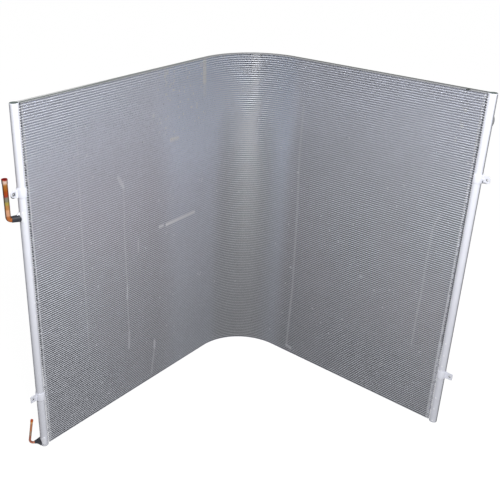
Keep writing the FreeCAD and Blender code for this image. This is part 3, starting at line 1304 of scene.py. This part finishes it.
@dataclass
class Header:
    """Round manifold at one end of the coil, with its two caps and the braze beads at its tube slots."""

    layout: Layout
    side: Side
    lid: float = 3.0 * MM
    lid_edge: float = 2.0 * MM
    spigot: float = 5.0 * MM
    chamfer: float = 0.3 * MM
    flux_top: float = 0.30
    flux_fade: float = 0.1
    flux_share: float = 0.85
    flux_range: Span = (0.7, 1.3)
    bead_range: Span = (0.75, 1.3)
    drop_sunk: float = 0.2 * MM
    drop_rise: float = 0.55

    @property
    def radius(self) -> float:
        """Outer radius."""
        return self.layout.header_radius

    def tube(self) -> bpy.types.Object:
        """Wall of the header: a closed band turned about the axis, with a small chamfer at both ends.

        Returns:
            The piece.
        """
        low = self.layout.header_low + self.lid
        high = self.layout.header_high - self.lid
        inner = self.radius - HEADER_WALL
        edge = self.radius - self.chamfer
        outer_levels = np.linspace(low + self.chamfer, high - self.chamfer, 24)
        outer = np.full_like(outer_levels, self.radius)
        radius = np.concatenate([[inner, edge], outer, [edge, inner]])
        level = np.concatenate([[low, low], outer_levels, [high, high]])
        points = turned_profile(radius, level, 96)
        shape = Shape.grid(points, close_u=True, close_v=True).moved(self.layout, self.side)
        return shape.build(f"{self.side.value}_header_wall")

    def cap(self, upper: bool) -> bpy.types.Object:
        """Plug with a rounded lid: straight side, quarter-round edge and a shallow dished middle, turned.

        Args:
            upper: Whether it closes the top.

        Returns:
            The piece.
        """
        turn = np.linspace(0.0, math.pi / 2, 7)
        edge = self.lid_edge
        spigot = self.radius - HEADER_WALL - CLEARANCE
        rim = self.radius - edge
        dish = np.array([rim * 0.75, rim * 0.68, rim * 0.3])
        dish_level = self.lid - np.array([0.0, 0.4, 0.5]) * MM
        plug = [spigot * 0.5, spigot, spigot, self.radius]
        radius = np.concatenate([plug, rim + edge * np.cos(turn), dish])
        plug_level = [-self.spigot, -self.spigot, 0.0, 0.0]
        level = np.concatenate([plug_level, self.lid - edge + edge * np.sin(turn), dish_level])
        points = turned_profile(radius, level, 72).swapaxes(0, 1)
        shape = Shape.grid(points, close_v=True, caps=True).turned_over()
        if upper:
            shape.points[:, 2] += self.layout.header_high - self.lid
        else:
            shape.points[:, 2] = self.layout.header_low + self.lid - shape.points[:, 2]
            shape = shape.turned_over()
        shape = shape.moved(self.layout, self.side)
        return shape.build(f"{self.side.value}_{'upper' if upper else 'lower'}_cap")

    def beads(self) -> bpy.types.Object:
        """Braze beads where the tubes enter: a stadium collar that swells from the tube onto the wall.

        Four rings of the outline lead from the tube to the wall, and a fifth closes the bead inside it.

        Returns:
            All of this header's beads and drops of flux as one piece.
        """
        half = TUBE_THICKNESS / 2
        angle = np.linspace(0.0, 2 * math.pi, 12, endpoint=False)
        reach = self.layout.half_depth - half
        y = np.sign(np.cos(angle)) * reach + half * np.cos(angle)
        z = half * np.sin(angle)
        out_y, out_z = np.cos(angle), np.sin(angle)
        swell = np.array([0.0, 0.35, 0.8, 1.4, -0.3])[None, :, None] * MM
        lift = np.array([2.8, 1.5, 0.6, -0.3, -0.3])[None, :, None] * MM
        levels = self.layout.tube_level(np.arange(TUBE_COUNT))[:, None, None]
        rng = np.random.default_rng(SEED + 3)
        each = (TUBE_COUNT, 1, 1)
        size = rng.uniform(*self.bead_range, each) * BEAD_SCALE[self.side]
        fluxed = 1.0 - smooth(levels - self.layout.floor, self.flux_top, self.flux_top + self.flux_fade)
        size = size + fluxed * (rng.random(each) < self.flux_share) * rng.uniform(*self.flux_range, each)
        bead_y = y + 0.6 * swell * size * out_y
        bead_z = z + swell * size * out_z + levels
        wall = np.sqrt(np.maximum(self.radius**2 - bead_y**2, 0.0))
        points = np.stack([wall + lift * size, bead_y, bead_z], axis=-1)
        shape = Shape.copies(points, close_u=True, close_v=True)
        shape = Shape.joined([shape, *(self.blob(*place) for place in BLOBS[self.side])])
        return shape.moved(self.layout, self.side).build(f"{self.side.value}_braze_beads")

    def blob(
        self, degrees: float, height: float, size: float, long: float = 1.0, shade: float = 0.0
    ) -> Shape:
        """Drop of flux: rings whose rise over the wall is h (1 - q * q), q being the share of its size.

        Args:
            degrees: Angle round the axis, from the tubes' side.
            height: Height above the lower side plate in millimetres.
            size: Half of its width in millimetres.
            long: Height over width.
            shade: How dark it is.

        Returns:
            The drop, laid out on the header's axis.
        """
        share = np.array([1.0, 0.8, 0.5, 0.15])[:, None]
        angle = np.linspace(0.0, 2 * math.pi, 16, endpoint=False)[None]
        sideways = size * MM * share * np.cos(angle)
        up = long * size * MM * share * np.sin(angle)
        turn = math.radians(degrees) + sideways / self.radius
        radius = self.radius - self.drop_sunk + self.drop_rise * size * MM * (1.0 - share**2)
        level = self.layout.floor + height * MM + up
        shape = Shape.grid(around(radius, turn, level), close_v=True, caps=True).turned_over()
        shape.marks["shade"] = np.full(len(shape.points), shade)
        return shape


BEAD_SCALE = {Side.LEFT: 1.25, Side.RIGHT: 0.9}

# Drops of flux: degrees round the axis, height and half width in millimetres, height over width and shade
BLOBS = {
    Side.LEFT: ((-95.0, 804.0, 3.4), (-75.6, 765.0, 3.0), (-81.4, 657.0, 3.4), (-84.2, 602.0, 3.0)),
    Side.RIGHT: (
        (267.9, 386.0, 3.6),
        (263.5, 329.0, 3.2),
        (261.6, 278.0, 3.4),
        (264.6, 257.0, 3.0),
        (220.8, 241.0, 3.0),
        (247.9, 217.0, 3.4),
        (266.7, 119.0, 3.6),
        (265.6, 64.0, 3.2),
        (257.6, 4.0, 3.6),
        (155.0, 1305.0, 8.0, 2.4, 0.75),
    ),
}


@dataclass
class Bracket:
    """Clip round a header with a pierced ear that flares out of its band.

    Its outer corners have their own radius; its bore, the ring round its hole and its lower outer edge carry
    painted shade, and the whole ear a faint one.
    """

    layout: Layout
    side: Side
    node: str
    corner: float
    edge_shade: float
    rim_shade: float
    inner: float = 16.05 * MM
    wall: float = 2.0 * MM
    back_reach: float = 60.0
    ear_thickness: float = 3.0 * MM
    reach: float = 46.0 * MM
    hole_reach: float = 36.0 * MM
    hole_radius: float = 3.5 * MM
    hole_lip: float = 0.6 * MM
    half_height: float = 15.0 * MM
    root_flare: float = 4.0 * MM
    flare_length: float = 9.0 * MM
    root_overlap: float = 0.2 * MM
    edge: float = 0.6 * MM
    band_edge: float = 0.7 * MM
    tube_gap: float = 1.0 * MM
    shade_start: float = 5.0 * MM
    shade_end: float = 1.0 * MM
    least_shade: float = 0.10
    fractions: tuple[float, ...] = (0.0, 0.05, 0.14, 0.5, 0.76, 1.0)

    def band(self, low: float, high: float) -> Shape:
        """Band round the header: a rounded rectangle carried over an arc from the back to beside the tubes.

        Args:
            low: Lower edge.
            high: Upper edge.

        Returns:
            The band, laid out on the header's axis.
        """
        clearance = self.layout.half_depth + self.tube_gap
        end = 360.0 - math.degrees(math.asin(clearance / (self.inner + self.wall)))
        angle = np.radians(np.linspace(180.0 - self.back_reach, end, 48))[:, None]
        section = rounded_rectangle(self.wall / 2, (high - low) / 2, self.band_edge, 5)
        radius = self.inner + self.wall / 2 + section[:, 0][None]
        points = around(radius, angle, (low + high) / 2 + section[:, 1])
        return Shape.grid(points, close_v=True, caps=True)

    def outline(self) -> Array:
        """Ear outline from the header outwards: straight edges, a flare at the root and round outer corners.

        Returns:
            Array of (reach, height) points about the hole, counter-clockwise from the root's upper end.
        """
        corner = self.corner
        root = self.inner - self.root_overlap
        turn = np.linspace(0.0, math.pi / 2, 9)
        upper_x = -self.reach + corner - corner * np.sin(turn)
        upper_y = self.half_height - corner + corner * np.cos(turn)
        sweep = np.linspace(0.0, 1.0, 8)
        flare_x = -root - sweep * self.flare_length
        flare_y = self.half_height + self.root_flare * (1.0 - sweep) ** 2
        half = np.stack([np.concatenate([flare_x, upper_x]), np.concatenate([flare_y, upper_y])], axis=-1)
        other = half[::-1] * np.array([1.0, -1.0])
        side_y = np.linspace(-half[0, 1], half[0, 1], 9)[1:-1]
        side = np.stack([np.full(7, -root), side_y], axis=-1)
        return np.concatenate([half, other, side])

    def ear(self, middle: float) -> Shape:
        """Pierced plate: rings of the outline shrunk towards the hole, over front, edge, back and bore.

        Rings 0 to 2 and those from 12 on lie at the bore, rings 5 to 8 at the outer edge.

        Args:
            middle: Level of the hole.

        Returns:
            The ear, laid out on the header's axis.
        """
        outline = self.outline()
        hole = np.array([-self.hole_reach, 0.0])
        ray = outline - hole
        ray /= np.linalg.norm(ray, axis=1, keepdims=True)
        rim = hole + ray * (self.hole_radius - self.hole_lip)
        edge = self.edge
        half = self.ear_thickness / 2
        front = rim[None] + (outline - rim)[None] * np.array(self.fractions)[:, None, None]
        front[-1] -= ray * edge
        bore = rim + ray * edge * 0.6
        flat = np.concatenate([[bore], front[1:], [outline, outline], front[:0:-1], [bore, rim, rim]])
        lifts = [[-half] * 6, [edge - half, half - edge], [half] * 6, [half - edge, edge - half]]
        depth = np.concatenate(lifts)
        places = np.broadcast_arrays(flat[..., 0], depth[:, None], flat[..., 1] + middle)
        shape = Shape.grid(np.stack(places, axis=-1), close_u=True, close_v=True)
        # Painted shade: bore and hole ring dark, lower outer edge by edge_shade, the rest faintly by
        # least_shade.
        ring = np.arange(len(depth))[:, None]
        lower = smooth(-flat[..., 1], 0.0, 0.5 * self.half_height)
        start, end = self.hole_reach - self.shade_start, self.hole_reach + self.shade_end
        part = smooth(-flat[..., 0], start, end)
        if self.side is Side.RIGHT:
            part = 1.0 - part
        at_bore = (ring <= 2) | (ring >= 12)
        at_edge = (ring >= 5) & (ring <= 8)
        edge_shade = at_edge * lower * part * self.edge_shade
        edge_shade = np.maximum(edge_shade, (ring == 4) * lower * part * 0.8 * self.edge_shade)
        bore_shade = np.where(ring == 2, self.rim_shade, 1.0)
        shade = np.where(at_bore, bore_shade, np.maximum(edge_shade, self.least_shade))
        shape.marks["shade"] = shade.reshape(-1)
        return shape

    def build(self) -> bpy.types.Object:
        """Joins band and ear at the height of the CAD bracket.

        Returns:
            The bracket.
        """
        low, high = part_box(self.node)
        shape = Shape.joined([self.band(low.z, high.z), self.ear((low.z + high.z) / 2)])
        return shape.moved(self.layout, self.side).build(f"{self.node}_clip")


@dataclass
class Stub:
    """Copper pipe stub with its aluminium saddle and black sleeve on the left header."""

    layout: Layout
    name: str
    level: float
    turn: float
    pipe_radius: float
    pipe_wall: float
    saddle_above: float
    saddle_below: float
    boss_radius: float
    sleeve_base: Triple
    sleeve_curve: Span
    sleeve_tip: float
    sleeve_end: float
    corner: float
    bend_radius: float
    bend_angle: float
    leg: float
    socket_depth: float
    socket_shoulder: float
    saddle_span: float
    wall: float = 2.0 * MM
    saddle_corner: float = 6.0 * MM
    sunk: float = 0.3 * MM
    sleeve_seat: float = 2.2 * MM
    crease: float = 0.1 * MM

    def placed(self, shape: Shape) -> Shape:
        """Moves a shape laid out along +x at the header's axis to the stub's direction and level.

        Args:
            shape: The shape.

        Returns:
            The moved shape.
        """
        points = turned_xy(shape.points, 180.0 - self.turn)
        points[:, 2] += self.layout.floor + self.level
        points = points + np.array([*self.layout.axis(Side.LEFT), 0.0])
        return Shape(points, shape.faces, shape.maps, shape.marks)

    def saddle(self) -> Shape:
        """Plate wrapped on the header: rings of a rounded rectangle over angle and height.

        The rings run from the middle of its back, sunk in the header's wall, to the thin brazed edge and
        over the front to the middle again.

        Returns:
            The plate, laid out along +x.
        """
        half_span = math.radians(self.saddle_span / 2)
        radius = self.layout.header_radius
        half_width = half_span * radius
        half_height = (self.saddle_above + self.saddle_below) / 2
        outline = rounded_rectangle(half_width, half_height, self.saddle_corner, 12)
        ring = np.array([0.001, 0.4, 0.8, 1.0, 0.985, 0.95, 0.90, 0.7, 0.4, 0.1, 0.001])
        lift = np.array([0.0, 0.0, 0.0, 0.0, 0.55, 0.9, 1.0, 1.0, 1.0, 1.0, 1.0]) * self.wall
        flat = outline[None] * ring[:, None, None]
        middle = (self.saddle_above - self.saddle_below) / 2
        angle = flat[..., 0] / radius
        reach = radius - self.sunk + lift[:, None] + self.sunk * (lift[:, None] > 0)
        points = around(reach, angle, flat[..., 1] + middle)
        return Shape.grid(points, close_v=True, caps=True).turned_over()

    def boss(self) -> Shape:
        """Tapered boss from the header's wall to the pipe's size, turned about the stub's axis.

        Returns:
            The boss, laid out along +x.
        """
        along = np.array([0.6, 1.0, 1.75, 1.75, 0.6]) * self.layout.header_radius
        inner = self.pipe_radius - self.pipe_wall
        radius = np.array([self.boss_radius, self.boss_radius, self.pipe_radius, inner, inner])
        turned = turned_profile(radius, along, 40)
        return Shape.grid(turned[..., [2, 0, 1]], close_u=True, close_v=True)

    def sleeve(self) -> Shape:
        """Sleeve over boss and pipe: an oval tube, wide at the header, slightly creased, with a rounded tip.

        Its upper line runs straight from base to tip and its lower line curves in by (1 - t) to a power.

        Returns:
            The sleeve, laid out along +x.
        """
        wall = self.sleeve_tip - self.pipe_radius - CLEARANCE
        fraction = np.concatenate([np.linspace(0.0, 0.95, 18), [0.975, 0.99, 1.0, 1.0, 0.5, 0.0]])
        shrink = np.concatenate([np.zeros(18), np.array([0.1, 0.35, 0.7]) * MM, np.full(3, wall)])
        angle = np.linspace(0.0, 2 * math.pi, 40, endpoint=False)[:, None]
        upper, lower, sideways = self.sleeve_base
        seat = self.layout.header_radius + self.sleeve_seat
        start = np.sqrt(seat**2 - (sideways * np.cos(angle)) ** 2)
        along = start + (self.sleeve_end - start) * fraction
        rise = self.sleeve_tip + (upper - self.sleeve_tip) * (1.0 - fraction) ** self.sleeve_curve[0]
        drop = self.sleeve_tip + (lower - self.sleeve_tip) * (1.0 - fraction) ** self.sleeve_curve[1]
        wide = self.sleeve_tip + (sideways - self.sleeve_tip) * (1.0 - fraction) ** self.sleeve_curve[1]
        crease = self.crease * np.sin(3 * angle + 9 * fraction) * np.sin(7 * fraction)
        radius = crease * (1 - smooth(fraction, 0.8, 0.95)) - shrink
        y = (wide + radius) * np.cos(angle)
        z = (rise - drop) / 2 + ((rise + drop) / 2 + radius) * np.sin(angle)
        points = np.stack([np.broadcast_to(along, y.shape), y, z], axis=-1)
        return Shape.grid(points, close_u=True, close_v=True)

    def gusset(self) -> Shape:
        """Small wedge on the saddle above the sleeve: a triangle carried over its thickness.

        Returns:
            The wedge, laid out along +x.
        """
        along, up = np.array([[15.0, 26.0, 15.0], [11.0, 11.0, 23.5]]) * MM
        sideways = np.array([-3.0, 3.0])[:, None] * MM
        points = np.stack(np.broadcast_arrays(along, sideways, up), axis=-1)
        return Shape.grid(points, close_v=True, caps=True)

    def spine(self) -> tuple[Array, Array]:
        """Middle line of the pipe: straight run, bend of its own radius, straight leg to the open end.

        Returns:
            Points and unit directions in the stub's upright plane, as (along, up) pairs.
        """
        angle = math.radians(self.bend_angle)
        tangent = self.bend_radius * math.tan(angle / 2)
        turn = np.linspace(0.0, angle, 17)
        start = 1.8 * self.layout.header_radius
        bend_x = self.corner - tangent + self.bend_radius * np.sin(turn)
        bend_z = self.bend_radius * (1.0 - np.cos(turn))
        rise = np.array([math.cos(angle), math.sin(angle)])
        base = np.array([self.corner, 0.0]) + rise * tangent
        socket = self.leg - tangent - self.socket_depth
        shoulder = self.socket_shoulder
        stops = np.array([socket - shoulder, socket - 0.5 * shoulder, socket, self.leg - tangent])
        leg = base[None] + stops[:, None] * rise[None]
        points = np.concatenate([[[start, 0.0]], np.stack([bend_x, bend_z], axis=-1), leg])
        headings = np.concatenate([[0.0], turn, np.full(4, angle)])
        return points, np.stack([np.cos(headings), np.sin(headings)], axis=-1)

    def pipe(self) -> Shape:
        """Pipe wall carried along its spine: outside up to the open rim, round the rim and back down inside.

        Each ring is centre + r (cos a * across + sin a * sideways), with across square to the spine.

        Returns:
            The pipe, laid out along +x.
        """
        points, heading = self.spine()
        swell = np.zeros(len(points))
        swell[-3:] = [0.5, 1.0, 1.0]
        outer = self.pipe_radius + swell * self.pipe_wall
        inner = outer - self.pipe_wall
        rim = 0.25 * self.pipe_wall
        order = np.concatenate([np.arange(len(points)), np.arange(len(points))[::-1]])
        radius = np.concatenate([outer, inner[::-1]])
        centre, direction = points[order], heading[order]
        lip = len(points) - 1
        extra_centre = centre[lip] + direction[lip] * rim
        centre = np.insert(centre, lip + 1, [extra_centre, extra_centre], axis=0)
        direction = np.insert(direction, lip + 1, [direction[lip], direction[lip]], axis=0)
        radius = np.insert(radius, lip + 1, [outer[-1] - rim, inner[-1] + rim])
        angle = np.linspace(0.0, 2 * math.pi, 36, endpoint=False)[None]
        across = np.stack([-direction[:, 1], direction[:, 0]], axis=-1)
        x = centre[:, :1] + radius[:, None] * np.cos(angle) * across[:, :1]
        z = centre[:, 1:] + radius[:, None] * np.cos(angle) * across[:, 1:]
        y = radius[:, None] * np.sin(angle)
        shape = Shape.grid(np.stack([x, y, z], axis=-1), close_u=True, close_v=True)
        inside = np.arange(len(centre)) > lip + 1
        shape.marks["inside"] = np.repeat(inside, angle.size).astype(float)
        return shape


# Sizes of the gas stub and of the liquid stub
STUBS = {
    "name": ("gas", "liquid"),
    "level": (999.0 * MM, 15.0 * MM),
    "turn": (15.0, 25.0),
    "pipe_radius": (9.525 * MM, 4.76 * MM),
    "pipe_wall": (1.2 * MM, 0.9 * MM),
    "saddle_above": (24.0 * MM, 26.0 * MM),
    "saddle_below": (18.0 * MM, 12.0 * MM),
    "boss_radius": (10.8 * MM, 11.0 * MM),
    "sleeve_base": ((11.4 * MM, 15.0 * MM, 12.8 * MM), (17.5 * MM, 21.8 * MM, 12.5 * MM)),
    "sleeve_curve": ((1.0, 1.0), (1.1, 1.9)),
    "sleeve_tip": (11.5 * MM, 6.2 * MM),
    "sleeve_end": (46.0 * MM, 40.5 * MM),
    "corner": (56.5 * MM, 60.0 * MM),
    "bend_radius": (12.0 * MM, 16.5 * MM),
    "bend_angle": (90.0, 99.2),
    "leg": (151.0 * MM, 114.0 * MM),
    "socket_depth": (15.0 * MM, 10.0 * MM),
    "socket_shoulder": (4.0 * MM, 3.0 * MM),
    "saddle_span": (150.0, 195.0),
}


@dataclass
class Studio:
    """White ground, dim even sky, one large panel on the camera's side and the fitted camera."""

    key_watts: float = 82.0
    key_size: float = 0.9
    key_place: Triple = (-1.12, -1.28, 2.72)
    key_aim: Triple = (0.1, 0.1, 1.0)
    sky_strength: float = 0.25
    floor_size: float = 60.0
    floor_grey: float = 0.45
    floor_glow: float = 1.30
    glow_share: float = 0.75

    def camera(self) -> None:
        """Creates the camera where the fit puts it, with the photograph's framing as its shift."""
        data = bpy.data.cameras.new("camera")
        data.sensor_width = SENSOR_MM
        data.lens = FOCAL_PIXELS / FRAME_PIXELS * SENSOR_MM
        data.shift_x = (FRAME_PIXELS / 2 - PRINCIPAL_PIXEL[0]) / FRAME_PIXELS
        data.shift_y = (PRINCIPAL_PIXEL[1] - FRAME_PIXELS / 2) / FRAME_PIXELS
        data.clip_end = 200.0
        yaw, pitch, roll = (math.radians(value) for value in (CAMERA_YAW, CAMERA_PITCH, CAMERA_ROLL))
        ahead = math.cos(pitch)
        forward = Vector((math.cos(yaw) * ahead, math.sin(yaw) * ahead, -math.sin(pitch)))
        level = Vector((math.sin(yaw), -math.cos(yaw), 0.0))
        drop = forward.cross(level)
        right = math.cos(roll) * level + math.sin(roll) * drop
        down = -math.sin(roll) * level + math.cos(roll) * drop
        core_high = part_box("core")[1]
        corner = Vector((core_high.x, core_high.y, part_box("bottom_side_plate")[0].z))
        turn = Matrix((right, -down, -forward)).transposed().to_4x4()
        camera = bpy.data.objects.new("camera", data)
        camera.matrix_world = Matrix.Translation(corner + Vector(CAMERA_OFFSET)) @ turn
        bpy.context.scene.collection.objects.link(camera)
        bpy.context.scene.camera = camera

    def sky(self) -> None:
        """White world to the camera and to mirrors, dimmer as a light."""
        world = bpy.data.worlds.new("sky")
        bpy.context.scene.world = world
        book = NodeBook(world)
        values = {"Value": book.seen(), "To Min": self.sky_strength}
        strength = book.node("ShaderNodeMapRange", {}, values)
        background = book.node("ShaderNodeBackground", {}, {"Strength": strength})
        book.add("ShaderNodeOutputWorld", {}, {"Surface": background})

    def floor(self) -> None:
        """White floor that keeps a soft shadow: mostly its own light to seen rays, grey to the others."""
        half = self.floor_size / 2
        edge = np.linspace(-half, half, 3)
        grid = np.stack([*np.meshgrid(edge, edge, indexing="ij"), np.zeros((3, 3))], axis=-1)
        shape = Shape.grid(grid)
        mesh = bpy.data.meshes.new("floor")
        mesh.from_pydata(shape.points.tolist(), [], shape.faces[0].tolist())
        floor = bpy.data.objects.new("floor", mesh)
        bpy.context.scene.collection.objects.link(floor)
        book = NodeBook(bpy.data.materials.new("white_ground"))
        grey = (self.floor_grey, self.floor_grey, self.floor_grey, 1.0)
        lit = book.node("ShaderNodeBsdfDiffuse", {}, {"Color": grey})
        white = {"Color": (1.0, 1.0, 1.0, 1.0), "Strength": self.floor_glow}
        bright = book.node("ShaderNodeEmission", {}, white)
        mixed = book.node("ShaderNodeMixShader", {}, {0: book.seen() * self.glow_share, 1: lit, 2: bright})
        book.add("ShaderNodeOutputMaterial", {}, {"Surface": mixed})
        mesh.materials.append(book.owner)

    def lamp(self) -> None:
        """Hangs the square key panel above and beside the camera, aimed at the coil's upper half."""
        data = bpy.data.lights.new("key", "AREA")
        data.size = self.key_size
        data.energy = self.key_watts
        lamp = bpy.data.objects.new("key", data)
        lamp.location = self.key_place
        away = Vector(self.key_aim) - Vector(self.key_place)
        lamp.rotation_euler = away.to_track_quat("-Z", "Y").to_euler()
        bpy.context.scene.collection.objects.link(lamp)

    def build(self) -> None:
        """Sets up camera, ground and light, with colours shown as they are."""
        self.camera()
        self.sky()
        self.floor()
        self.lamp()
        bpy.context.scene.view_settings.view_transform = "Standard"


# Tints down a copper leg: share of its length below the open end, and colour. The gas leg's pale bands from
# 0.03 to 0.065 and from 0.75 to 0.86 are painted highlights
GAS_TINTS_AND_HIGHLIGHTS = (
    (0.000, (0.34, 0.03, 0.025)),
    (0.010, (0.34, 0.03, 0.025)),
    # Painted highlight just below the rim
    (0.030, (0.66, 0.42, 0.30)),
    (0.065, (0.74, 0.58, 0.50)),
    (0.100, (0.62, 0.36, 0.20)),
    (0.140, (0.42, 0.17, 0.035)),
    (0.230, (0.40, 0.13, 0.02)),
    (0.290, (0.40, 0.075, 0.016)),
    (0.350, (0.40, 0.065, 0.016)),
    (0.400, (0.36, 0.048, 0.036)),
    (0.440, (0.24, 0.225, 0.175)),
    (0.520, (0.25, 0.23, 0.15)),
    (0.556, (0.42, 0.34, 0.08)),
    (0.600, (0.42, 0.34, 0.08)),
    (0.630, (0.50, 0.24, 0.08)),
    (0.710, (0.50, 0.24, 0.08)),
    # Painted highlight band
    (0.750, (0.68, 0.36, 0.215)),
    (0.860, (0.68, 0.36, 0.215)),
    (0.910, (0.46, 0.15, 0.048)),
    (1.000, (0.46, 0.15, 0.048)),
)

LIQUID_TINTS = (
    (0.000, (0.52, 0.11, 0.022)),
    (0.060, (0.50, 0.11, 0.025)),
    (0.085, (0.62, 0.34, 0.13)),
    (0.140, (0.58, 0.31, 0.14)),
    (0.180, (0.45, 0.19, 0.095)),
    (0.440, (0.45, 0.19, 0.095)),
    (0.490, (0.33, 0.22, 0.15)),
    (0.620, (0.33, 0.22, 0.15)),
    (0.680, (0.34, 0.13, 0.09)),
    (0.900, (0.36, 0.13, 0.09)),
    (1.000, (0.52, 0.21, 0.13)),
)


def build_core(layout: Layout) -> None:
    """Builds tubes, fins and side plates.

    Args:
        layout: Places of the coil.
    """
    # Tubes: painted shade at the top rows and towards the floor, a painted highlight in the bend, painted
    # shade in the gaps.
    tubes = TubeStock(
        "tube_metal",
        colour=(0.89, 0.91, 0.985),
        metallic=0.10,
        roughness=0.45,
        mottle=0.12,
        speck=0.4,
        grain=(20.0, 20.0, 900.0),
        dust_and_foot_shade=0.22,
        shaded=True,
        layout=layout,
    )
    plate_look = {"metallic": 0.2, "roughness": 0.45, "speck": 0.3}
    # Upper plate: dark painted shade on its top, with the painted highlight and shade of EdgedPlate.
    upper_plate = EdgedPlate(
        "plate_metal", (0.60, 0.61, 0.63), mottle=0.15, top_shade_colour=(0.145, 0.165, 0.16), **plate_look
    )
    lower_plate = BrazedAluminium("strip_metal", (0.62, 0.63, 0.68), mottle=0.12, **plate_look)
    tube_metal = tubes.material()
    fin_metal = FinStock("fin_metal", layout).material()
    dress(FlatTubes(layout).build(), tube_metal, "core_aluminium", "core")
    for band in CorrugatedFins(layout).build():
        dress(band, fin_metal, "core_aluminium", "core")
    plate = SidePlate(layout)
    upper = plate.build("upper_side_strip", layout.ceiling - PLATE_THICKNESS)
    dress(upper, upper_plate.material(), "plate_aluminium", "top_side_plate")
    lower = plate.build("lower_side_strip", layout.floor)
    dress(lower, lower_plate.material(), "plate_aluminium", "bottom_side_plate")


# Painted shade at each header's limbs
HEADER_LIMB_SHADES = {Side.LEFT: LimbShade(LEFT_LIMB, 0.12, 0.26), Side.RIGHT: LimbShade(RIGHT_LIMB, 0.62, 0.06)}

# Brackets' levels, the radius of their ears' outer corners and the painted shade of their edges
BRACKETS = (("upper", 12.0 * MM, 1.0), ("lower", 4.0 * MM, 0.15))
# Painted shade of the ring round each ear's hole: dark on the upper left bracket, pale on the others
DARK_RIM = 0.85
PALE_RIM = 0.15


def build_headers(layout: Layout) -> None:
    """Builds both headers with caps, beads and brackets.

    Args:
        layout: Places of the coil.
    """
    # Header walls and caps take painted shade towards the floor.
    matt = {"metallic": 0.0, "roughness": 0.6, "specular": 0.1, "dust_and_foot_shade": 0.12}
    # The caps' tops take a dark painted shade.
    cap_metal = BrazedAluminium(
        "cap_metal", (0.85, 0.865, 0.94), mottle=0.08, speck=0.4, top_shade_colour=(0.12, 0.15, 0.14), **matt
    ).material()
    beads = BrazedAluminium("bead_metal", (0.94, 0.945, 0.975), 0.05, 0.5, 0.10, 0.6, shaded=True)
    clips = BrazedAluminium("clip_metal", (0.88, 0.895, 0.98), 0.0, 0.55, 0.08, 0.4, shaded=True)
    bead_metal, clip_metal = beads.material(), clips.material()
    for side in Side:
        header = Header(layout, side)
        name = side.value
        wall = BrazedAluminium(
            f"{name}_header_metal",
            (0.86, 0.875, 0.955),
            mottle=0.05,
            speck=0.35,
            limb_shade=HEADER_LIMB_SHADES[side],
            **matt,
        )
        wall_metal = wall.material()
        dress(header.tube(), wall_metal, "header_aluminium", f"{name}_header")
        dress(header.cap(True), cap_metal, "header_aluminium", f"{name}_header_top_cap")
        dress(header.cap(False), cap_metal, "header_aluminium", f"{name}_header_bottom_cap")
        dress(header.beads(), bead_metal, "header_aluminium")
        for level, corner, edge_shade in BRACKETS:
            node = f"{level}_{name}_bracket"
            rim_shade = DARK_RIM if node == "upper_left_bracket" else PALE_RIM
            bracket = Bracket(layout, side, node, corner, edge_shade, rim_shade)
            dress(bracket.build(), clip_metal, "bracket_aluminium", node)


# Tints, painted shade on the flanks and the bore's colour of the gas stub and of the liquid stub
COPPERS = ((GAS_TINTS_AND_HIGHLIGHTS, 0.95, (0.42, 0.03, 0.025)), (LIQUID_TINTS, 0.15, (0.90, 0.24, 0.07)))


def build_stubs(layout: Layout) -> None:
    """Builds both pipe stubs with saddles and sleeves.

    Args:
        layout: Places of the coil.
    """
    saddle_metal = BrazedAluminium("saddle_metal", (0.91, 0.925, 0.99), 0.0, 0.5, 0.06, 0.5).material()
    sleeve_black = ShrinkSleeve("sleeve_black_plastic").material()
    for index, (tints, flank_shade, inside) in enumerate(COPPERS):
        stub = Stub(layout, **{key: sizes[index] for key, sizes in STUBS.items()})
        name = stub.name
        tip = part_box(f"{name}_pipe")[1].z
        copper = HeatTintedCopper(f"{name}_copper_tints", tip, tints, stub.leg, flank_shade, inside).material()
        parts = [stub.saddle(), stub.boss()]
        if name == "gas":
            parts.append(stub.gusset())
        fitting = stub.placed(Shape.joined(parts)).build(f"{name}_saddle")
        dress(fitting, saddle_metal, "fitting_aluminium", f"{name}_fitting")
        sleeve = stub.placed(stub.sleeve()).build(f"{name}_shrink_sleeve", 50.0)
        dress(sleeve, sleeve_black, "sleeve_black", f"{name}_sleeve")
        pipe = stub.placed(stub.pipe()).build(f"{name}_copper_stub")
        dress(pipe, copper, f"{name}_copper", f"{name}_pipe")


def main() -> None:
    """Builds the whole scene in order."""
    logging.basicConfig(level=logging.INFO, format="%(name)s: %(message)s")
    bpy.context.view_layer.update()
    layout = Layout.read()
    Studio().build()
    build_core(layout)
    build_headers(layout)
    build_stubs(layout)
    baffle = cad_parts["baffle"]
    baffle.data.materials.clear()
    baffle.data.materials.append(BrazedAluminium("baffle_metal").material())


if __name__ == "__main__":
    main()
